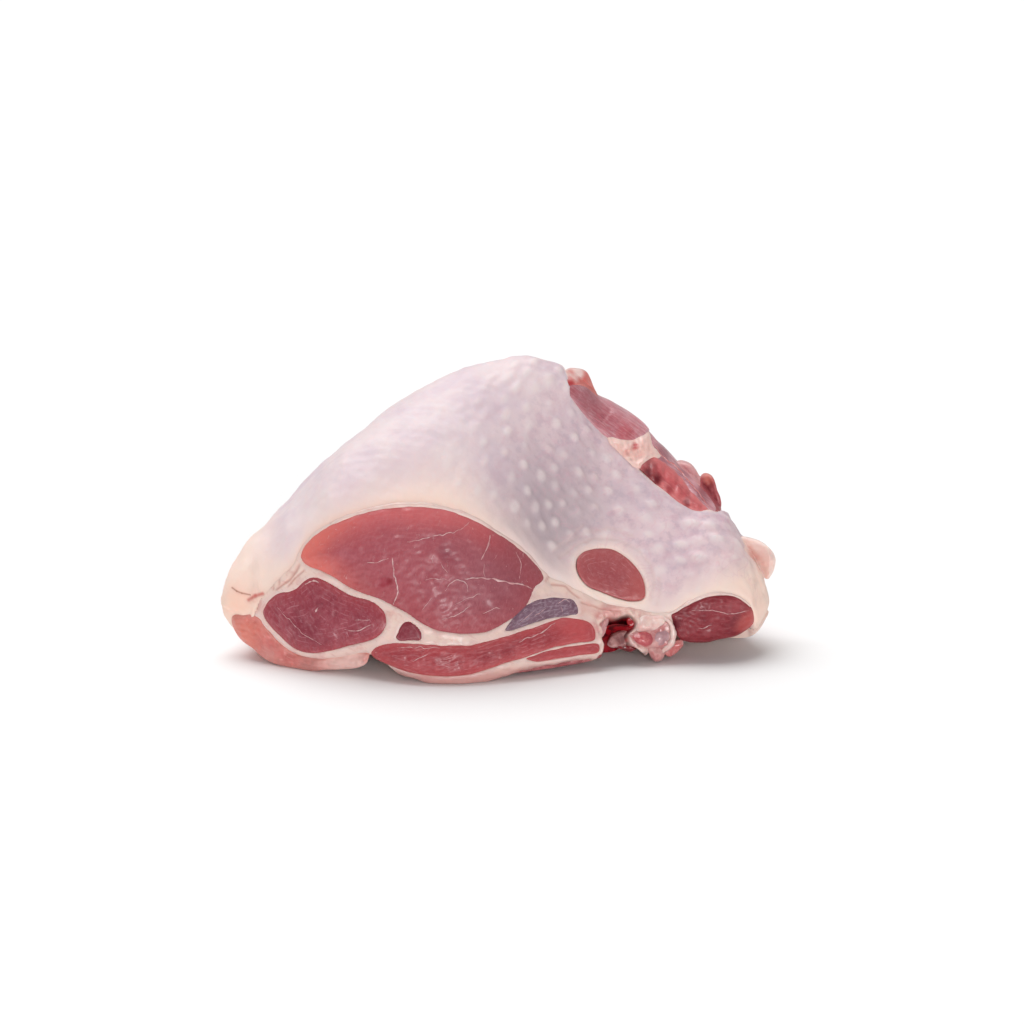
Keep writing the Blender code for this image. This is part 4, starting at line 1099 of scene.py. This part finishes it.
def back_finish():
    """Meat under a thin membrane: purple red, darkened as painted shade so the gaps between the pieces
    in front read as shadow, with pale fat in the furrows.
    """
    finish = Finish("back_meat", **MEAT_GLOW)
    along = finish.stretched((1, 0.5, 0.35), 40)
    patches = finish.noise(8, 4, 0.55).between(0.35, 0.65)
    fibres = finish.noise(1.1, 4, 0.65, along)
    # Painted shade: the meat's own purple reds, made darker so that it reads as shadow where it shows
    # between the pieces.
    colour = finish.mix(patches, (140, 68, 78), (160, 80, 88))
    colour = finish.mix(fibres.between(0.4, 0.7) * 0.4, colour, (186, 122, 128))
    colour = finish.mix(finish.shade("furrow") * 0.5, colour, (204, 154, 150))
    veil = finish.noise(18, 3).between(0.5, 0.72)
    colour = finish.mix(veil * 0.4, colour, (196, 146, 148))
    finish.feed("Base Color", colour)
    finish.feed("Roughness", finish.noise(3, 3) * 0.22 + 0.28)
    finish.bump(fibres * 0.7 + finish.noise(0.4, 2) * 0.2, 0.2, 0.7)
    return finish


def gristle(name, deep, light, wet):
    """Gristle and wet scraps: two tints in small patches, very glossy."""
    finish = Finish(name, Subsurface_Weight=0.3, Subsurface_Radius=(1.0, 0.5, 0.4),
                    Subsurface_Scale=0.0016, Coat_Weight=wet, Coat_Roughness=0.12,
                    Specular_IOR_Level=0.5)
    patches = finish.noise(2.2, 4, 0.6)
    finish.feed("Base Color", finish.mix(patches.between(0.4, 0.62), deep, light))
    finish.feed("Roughness", finish.noise(1.5, 3) * 0.25 + 0.2)
    finish.bump(patches, 0.2, 0.6)
    return finish


# ---- the joint -----------------------------------------------------------------------------------
# The looks of cut meat, by the name of the finish: deep, light, rim and pale, then how they lie.
# A spot is (x, z, radius, colour, share).
MEATS = {
    "dark_cut": {"tints": ((134, 47, 62), (150, 60, 73), (164, 66, 74), (206, 140, 150)),
                 "grain": (1.2, 1, 0.8), "turn": -30, "flecks": 0.9, "patch": 8},
    "nugget_cut": {"tints": ((122, 38, 54), (138, 48, 62), (134, 44, 58), (196, 128, 136)),
                   "patch": 5},
    "slate_cut": {"tints": ((112, 80, 96), (138, 104, 120), (116, 80, 96), (200, 182, 194)),
                  "grain": (0.3, 1, 1.7), "turn": -28, "flecks": 1.0, "patch": 5, "veil": 0.35},
    "strip_cut": {"tints": ((144, 46, 57), (167, 62, 70), (184, 76, 79), (216, 152, 156)),
                  "grain": (0.35, 1, 1.4), "turn": -14, "flecks": 0.9, "patch": 7,
                  "spots": [(18, 10.5, 6, (198, 86, 88), 0.65)]},
    "oval_cut": {"tints": ((154, 70, 76), (166, 80, 84), (172, 84, 86), (210, 150, 150)),
                 "flecks": 0.4, "spots": [(33, 17, 4, (186, 92, 88), 0.5)]},
    "wine_cut": {"tints": ((112, 22, 36), (138, 38, 48), (130, 32, 42), (182, 98, 104)),
                 "grain": (0.45, 1, 1.3), "turn": 10, "patch": 8,
                 "spots": [(60.8, 8.5, 3.4, (192, 82, 78), 0.75), (41.9, 9, 1.8, (88, 12, 30), 0.8),
                           (57, 13.2, 2.6, (172, 78, 84), 0.5)]},
    "salmon_flap": {"tints": ((194, 92, 90), (206, 108, 102), (216, 138, 130), (230, 180, 170)),
                    "grain": (0.6, 1, 1), "flecks": 0.4, "patch": 8,
                    "spots": [(-62, 7, 5, (220, 128, 110), 0.7),
                              (-36.5, 3.2, 7, (232, 192, 184), 0.95),
                              (-46, 0.6, 3.4, (196, 132, 126), 0.8),
                              (-55, 2, 3, (214, 150, 142), 0.6)]},
    "purple_plane": {"tints": ((166, 78, 92), (196, 116, 126), (206, 144, 152), (236, 198, 202)),
                     "grain": (0.14, 1, 2.6), "turn": 37, "flecks": 0.8, "patch": 7, "veil": 0.6,
                     "ringed": 0,
                     "spots": [(17.6, 61.6, 2, (150, 52, 62), 0.6),
                               (20.5, 58.4, 4.6, (150, 68, 80), 0.6),
                               (26, 54, 4, (166, 76, 86), 0.5), (31.5, 50.6, 3, (182, 74, 82), 0.6),
                               (41, 45.4, 3, (140, 82, 94), 0.6), (46, 41, 3, (140, 78, 90), 0.6),
                               (50.3, 36.6, 2.6, (126, 58, 68), 0.7)]},
    "coral_lump": {"tints": ((196, 78, 74), (212, 104, 98), (216, 120, 112), (232, 168, 160)),
                   "patch": 4,
                   # Partly painted highlight: the two whitish spots on the top are the pale skin
                   # running over the lump, lightened further as a painted highlight where the light
                   # from the upper left falls; the dark red spot is the lump's own colour.
                   "spots": [(19.3, 65.3, 2, (236, 204, 198), 1.0),
                             (15.6, 65, 2, (234, 208, 202), 1.0),
                             (16.9, 62.9, 1.7, (176, 52, 58), 0.9)]},
    "pink_fat": {"tints": ((230, 174, 165), (239, 199, 190), (240, 203, 193), (240, 212, 204)),
                 "flecks": 0.7, "patch": 3.5,
                 "spots": [(33.3, 47.9, 0.9, (182, 50, 52), 0.95),
                           (31, 46.6, 1, (214, 140, 132), 0.5)]},
    "bright_strip": {"tints": ((164, 42, 54), (200, 86, 90), (214, 120, 120), (228, 160, 156)),
                     "grain": (0.5, 1, 1.2), "turn": 40, "flecks": 0.2, "patch": 3,
                     "spots": [(36.2, 42.4, 2.4, (96, 6, 22), 1.0),
                               (38.4, 40.4, 1.7, (108, 10, 26), 1.0),
                               (41.5, 38, 1.1, (150, 32, 44), 0.7),
                               (45.6, 35.3, 1.2, (126, 14, 32), 0.9)]},
    "pale_knob": {"tints": ((172, 96, 108), (196, 128, 134), (214, 160, 160), (230, 186, 184)),
                  "grain": (0.5, 1, 1.5), "turn": 40, "flecks": 0.6, "patch": 4},
    "wine_knob": {"tints": ((120, 30, 46), (150, 56, 68), (176, 88, 92), (212, 140, 140)),
                  "grain": (0.5, 1, 1.5), "turn": 60, "patch": 4,
                  "spots": [(51.5, 39.4, 1.9, (206, 118, 106), 0.9)]},
    "cream_flap": {"tints": ((228, 184, 174), (233, 203, 194), (236, 208, 199), (236, 208, 200)),
                   "flecks": 0.4, "patch": 5, "spots": [(61.6, 21.6, 2, (210, 130, 116), 0.5)]},
}
# Gristle, clots and scraps: two tints and how wet it is.
GRISTLES = {
    "raw_pink": ((186, 80, 88), (212, 124, 124), 0.5),
    "grey_gristle": ((176, 132, 138), (196, 156, 160), 0.5),
    "white_gristle": ((232, 204, 196), (226, 184, 178), 0.35),
    "pink_gristle": ((196, 124, 124), (214, 163, 159), 0.5),
    "grey_tissue": ((148, 96, 96), (184, 134, 130), 0.5),
    # Partly painted shade: the fringe's own pink, made darker because it sits in the shadow under the
    # strip.
    "fringe_painted_shade": ((166, 88, 92), (190, 118, 120), 0.3),
    "blood_clot": ((96, 4, 16), (140, 12, 28), 0.8),
    "bright_clot": ((172, 12, 28), (204, 46, 54), 0.8),
    "pink_tag": ((206, 112, 112), (220, 150, 146), 0.5),
    "strand": ((226, 180, 178), (206, 144, 146), 0.3),
}
# Pieces on the face and along the free edge: the CAD node, finish, slot and outline, then how far
# it bulges, how deep it runs, how far back it lies, how rough it is, its sections and its rows.
PIECES = {
    "thigh": ("thigh_muscle", "thigh_cut", "thigh_meat", THIGH, 1.3, 40, 0, 0.14, 420, 120),
    "round": ("round_muscle", "dark_cut", "dark_meat", ROUND, 1.0, 28, 0, 0.14, 300, 90),
    "small": ("small_muscle", "nugget_cut", "dark_meat", SMALL, 0.3, 13, 0, 0.08, 110, 40),
    "slate": ("slate_muscle", "slate_cut", "slate_meat", SLATE, 0.4, 20, 0, 0.1, 200, 50),
    "under": ("under_muscle", "strip_cut", "strip_meat", UNDER, 0.8, 24, 0, 0.14, 420, 70),
    # The fringe's finish is its own pink darkened as painted shade.
    "fringe": ("under_lobe", "fringe_painted_shade", "strip_meat", FRINGE, 0.4, 10, 2.4, 0.3, 160, 30),
    "lobe": ("under_lobe", "strip_cut", "strip_meat", LOBE, 0.3, 12, 0, 0.08, 160, 32),
    "oval": ("oval_muscle", "oval_cut", "thigh_meat", OVAL, 0.8, 20, -0.1, 0.1, 220, 80),
    "end": ("end_muscle", "wine_cut", "end_meat", END, 1.1, 22, 0, 0.16, 260, 80),
    "flap": ("left_flap", "salmon_flap", "flap_meat", FLAP, 1.0, 28, 0.5, 0.3, 260, 60),
    "plane": ("back_meat", "purple_plane", "back_meat", PLANE, 0.9, 14, -0.1, 0.25, 240, 70),
    "lump": ("top_lump", "coral_lump", "flap_meat", LUMP, 1.4, 9, 0.2, 0.35, 110, 50),
    "patch": ("fat_patch", "pink_fat", "fat", PATCH, 0.9, 10, -0.3, 0.45, 160, 60),
    "red_strip": ("red_strip", "bright_strip", "strip_meat", RED_STRIP, 0.9, 10, 0, 0.36, 220, 44),
    "second": ("side_strip", "purple_plane", "back_meat", SECOND, 0.5, 12, 0, 0.2, 240, 40),
    "pale_knob": ("side_knob", "pale_knob", "back_meat", KNOB_PALE, 0.9, 9, 1.2, 0.3, 110, 36),
    "red_knob": ("side_knob", "wine_knob", "back_meat", KNOB_RED, 1.1, 10, 0.9, 0.35, 110, 44),
    "side": ("side_flap", "cream_flap", "flap_meat", SIDE, 1.6, 8, 2.0, 0.25, 130, 50),
    "knuckle": ("joint_cartilage", "pink_gristle", "cartilage", KNUCKLE, 1.0, 9, -0.2, 0.3, 180, 70),
    "knuckle_pink": ("joint_cartilage", "raw_pink", "cartilage", KNUCKLE_PINK,
                     0.8, 4, -0.9, 0.3, 90, 36),
    "knuckle_white": ("joint_cartilage", "white_gristle", "cartilage", KNUCKLE_WHITE,
                      0.8, 5, -0.5, 0.35, 90, 36),
    "knuckle_grey": ("joint_cartilage", "grey_gristle", "cartilage", KNUCKLE_GREY,
                     0.25, 4, -1.0, 0.25, 80, 36),
    "drip": ("joint_cartilage", "pink_gristle", "cartilage", DRIP, 0.9, 5, -0.6, 0.35, 80, 36),
    "tissue": ("joint_cartilage", "grey_tissue", "cartilage", TISSUE, 0.5, 8, 2.4, 0.5, 90, 36),
    "blood": ("joint_cartilage", "blood_clot", "dark_meat", BLOOD, 0.9, 6, 3.0, 0.4, 90, 30),
    "clot": ("fat_core", "bright_clot", "dark_meat", CLOT, 0.9, 4, 1.6, 0.4, 60, 36),
    "wall": ("fat_core", "pale_knob", "dark_meat", WALL, 0.6, 6, 1.2, 0.3, 60, 36),
    "tag": ("pink_tag", "pink_tag", "flap_meat", TAG, 0.9, 6, 0.6, 0.3, 80, 36),
}
# The grain of some of them: its angle in degrees, its spacing and its depth.
GRAINS = {"round": (-60, 1.3, 0.03), "slate": (28, 1.2, 0.03), "under": (14, 1.1, 0.03),
          "end": (-8, 1.4, 0.04), "plane": (-36, 1.1, 0.07), "red_strip": (-42, 2.2, 0.1),
          "second": (-46, 0.9, 0.08)}
# Strands of connective tissue in some of them: each a line (x, z) and its thickness.
STRANDS = {
    "thigh": [
        ([(-25.3, 28.7), (-24.8, 25.2), (-23.9, 21), (-25, 17.9)], 1.2),
        ([(-31.2, 27.3), (-28.7, 27.6), (-26.1, 28.6)], 0.6),
        ([(-21.8, 32.2), (-16.9, 33.3), (-10.9, 34.3), (-8.6, 35.1), (-7.1, 36.3)], 0.7),
        ([(-2.2, 33.2), (-2.6, 31.3), (-4.3, 28)], 1.0),
        ([(-8.1, 24.1), (-3.9, 23.9), (0.3, 22.9), (5, 21.3), (7.9, 19.9)], 1.4),
        ([(-12.8, 21.2), (-11.2, 23.4), (-7.9, 23.1), (-7.4, 21)], 0.8),
        ([(-17.5, 24), (-14.5, 24.2), (-11.9, 23.9)], 0.5),
        ([(-13.5, 15), (-10.2, 15.8), (-6.9, 17.9)], 0.8),
        ([(-3.9, 16), (-1.8, 16.6), (0.3, 17)], 0.6),
        ([(3.7, 28.6), (5, 26), (4.7, 22.7)], 0.6),
        ([(-18.1, 17.1), (-16.8, 18.7), (-15.8, 20)], 0.6),
        ([(-4.4, 20.5), (-7.5, 19.5), (-10.9, 18)], 0.6),
        ([(-13.8, 27.5), (-13, 26.3), (-12.2, 25.6)], 0.5),
        ([(-3.6, 27), (-3.7, 25.5), (-3.3, 23.9)], 0.6),
        ([(-15.7, 27.5), (-15.9, 28.6), (-15.5, 29.7)], 0.5),
    ],
    "round": [
        ([(-53.1, 14.4), (-48.8, 10.9), (-45.8, 8.8), (-42.2, 7.3)], 0.6),
        ([(-36.7, 11.2), (-33.8, 11.3), (-31.2, 12.6), (-29.9, 13.4)], 0.8),
        ([(-34.2, 13.6), (-32.2, 13.9), (-30.2, 14.4)], 0.6),
        ([(-46.2, 20.9), (-44.4, 21.7), (-42.9, 21.6)], 1.6),
        ([(-43.6, 14.8), (-43.1, 15.8)], 1.3),
    ],
    "slate": [
        ([(14, 16), (15.4, 16.4), (16.7, 15.9)], 0.9),
        ([(14.7, 15.1), (14.9, 14.5), (14.9, 14)], 0.6),
        ([(8.3, 14), (9.7, 14.7), (11, 15.3)], 0.7),
        ([(5, 13.2), (6.8, 14.2), (8.2, 15.2)], 0.5),
    ],
    "under": [
        ([(4.7, 9.2), (9.6, 10.2), (13.3, 12)], 0.9),
        ([(-20.4, 5.4), (-18.5, 6.5), (-16.8, 7.2)], 0.6),
        ([(-24, 8.4), (-19, 8.6), (-14, 8.5)], 0.5),
    ],
    "end": [
        ([(46.1, 12.8), (51.3, 12.6), (55.9, 11.4), (60.3, 11.6)], 0.7),
        ([(51, 8.9), (49.4, 8.4), (47.7, 8.2)], 0.6),
    ],
    "second": [
        ([(38.4, 47.2), (40, 44.9), (41.5, 43.6), (43.4, 42.1), (45.1, 40.4), (46.8, 38.6), (48.5, 37),
          (50.1, 35.1), (51.4, 33.4)], 1.6),
    ],
    "knuckle": [
        ([(39.4, 11), (40.6, 10.3), (41.4, 8.8), (41.7, 6.9), (41.4, 5.2), (40.6, 4.1), (39.3, 2.9),
          (38.3, 1.3)], 1.2),
    ],
}
# How the strands look: their finish, radius, lift and raggedness, and where that differs.
FINE_STRANDS = ("strand", 0.2, 0, 0.35)
OTHER_STRANDS = {"knuckle": ("white_gristle", 0.95, 0.7, 0.12), "second": ("pink_tag", 0.2, 0, 0.1)}


def make_joint():
    """Every piece of the joint. A piece's place in PIECES seeds its waves."""
    make_skin(skin_finish().material)
    make_fat(fat_finish().material)
    make_back(back_finish().material)
    finishes = {"thigh_cut": thigh_finish()}
    finishes.update({name: meat(name, **looks) for name, looks in MEATS.items()})
    finishes.update({name: gristle(name, *looks) for name, looks in GRISTLES.items()})
    for number, (name, row) in enumerate(PIECES.items()):
        node, finish, slot, points, bulge, depth, back, rough, sections, fronts = row
        seed = MUSCLE_SEED + 3 * number
        muscle = Muscle(points, bulge, depth, seed, back, GRAINS.get(name), rough)
        make_muscle(f"{name}_face", muscle, finishes[finish].material, sections, fronts, [node])
        if name in STRANDS:
            finish, radius, lift, ragged = OTHER_STRANDS.get(name, FINE_STRANDS)
            grids = strands(muscle, STRANDS[name], radius, STRAND_SEED + number, lift, ragged)
            add_piece(f"{name}_strands", grids, finishes[finish].material)


# ---- floor, light and camera ---------------------------------------------------------------------
FLOOR_HALF, FLOOR_GAP = 12.0, 0.0001   # metres: half its width, and how far down it lies
FLOOR_TINT = (0.94, 0.94, 0.94)        # linear
CAMERA_AWAY = 0.780           # metres from the point that it looks at
CAMERA_RISE = 12.0            # degrees above level
LOOKS_AT = np.array([2.94, -2.0, 32.8])
LENS, SENSOR = 111.9, 36      # focal length and width of the sensor, in millimetres
WORLD_STRENGTH = 0.28
LAMPS = (("key", 2.75, 54, (-26, -15, 0)), ("fill", 1.5, 24, (81, 0, 8)))   # angles in degrees


def make_floor():
    """A plain pale floor, just below what rests on it."""
    mesh = bpy.data.meshes.new("floor")
    corners = ((-1, -1), (1, -1), (1, 1), (-1, 1))
    mesh.from_pydata([(x * FLOOR_HALF, y * FLOOR_HALF, 0) for x, y in corners], [], [(0, 1, 2, 3)])
    finish = Finish("pale_floor", Roughness=0.7, Specular_IOR_Level=0.1)
    finish.shader.inputs["Base Color"].default_value = (*FLOOR_TINT, 1)
    mesh.materials.append(finish.material)
    floor = bpy.data.objects.new("floor", mesh)
    floor.location.z = -FLOOR_GAP
    bpy.context.scene.collection.objects.link(floor)


def make_light():
    """White all round, a broad light from the upper left and a little behind, and a weaker one.

    The second one comes from low in front. LAMPS has their names, strengths, widths and turns.
    """
    world = bpy.data.worlds.new("studio")
    bpy.context.scene.world = world
    world.use_nodes = True
    sky = world.node_tree.nodes["Background"]
    sky.inputs["Color"].default_value = (1, 1, 1, 1)
    sky.inputs["Strength"].default_value = WORLD_STRENGTH
    for name, power, width, turn in LAMPS:
        light = bpy.data.lights.new(name, "SUN")
        light.energy = power
        light.angle = math.radians(width)
        lamp = bpy.data.objects.new(name, light)
        lamp.rotation_euler = [math.radians(angle) for angle in turn]
        bpy.context.scene.collection.objects.link(lamp)


def make_camera():
    """The camera, level from side to side, CAMERA_RISE above the point that it looks at."""
    camera = bpy.data.cameras.new("camera")
    camera.sensor_width = SENSOR
    camera.lens = LENS
    camera.clip_start, camera.clip_end = 0.01, 100
    holder = bpy.data.objects.new("camera", camera)
    rise = math.radians(CAMERA_RISE)
    away = np.array([0, -math.cos(rise), math.sin(rise)]) * CAMERA_AWAY
    holder.location = (LOOKS_AT + CENTRING) * MM + away
    holder.rotation_euler = (math.pi / 2 - rise, 0, 0)
    bpy.context.scene.collection.objects.link(holder)
    bpy.context.scene.camera = holder
    bpy.context.scene.view_settings.view_transform = "Standard"
    bpy.context.scene.view_settings.look = "None"


make_camera()
make_floor()
make_light()
make_joint()
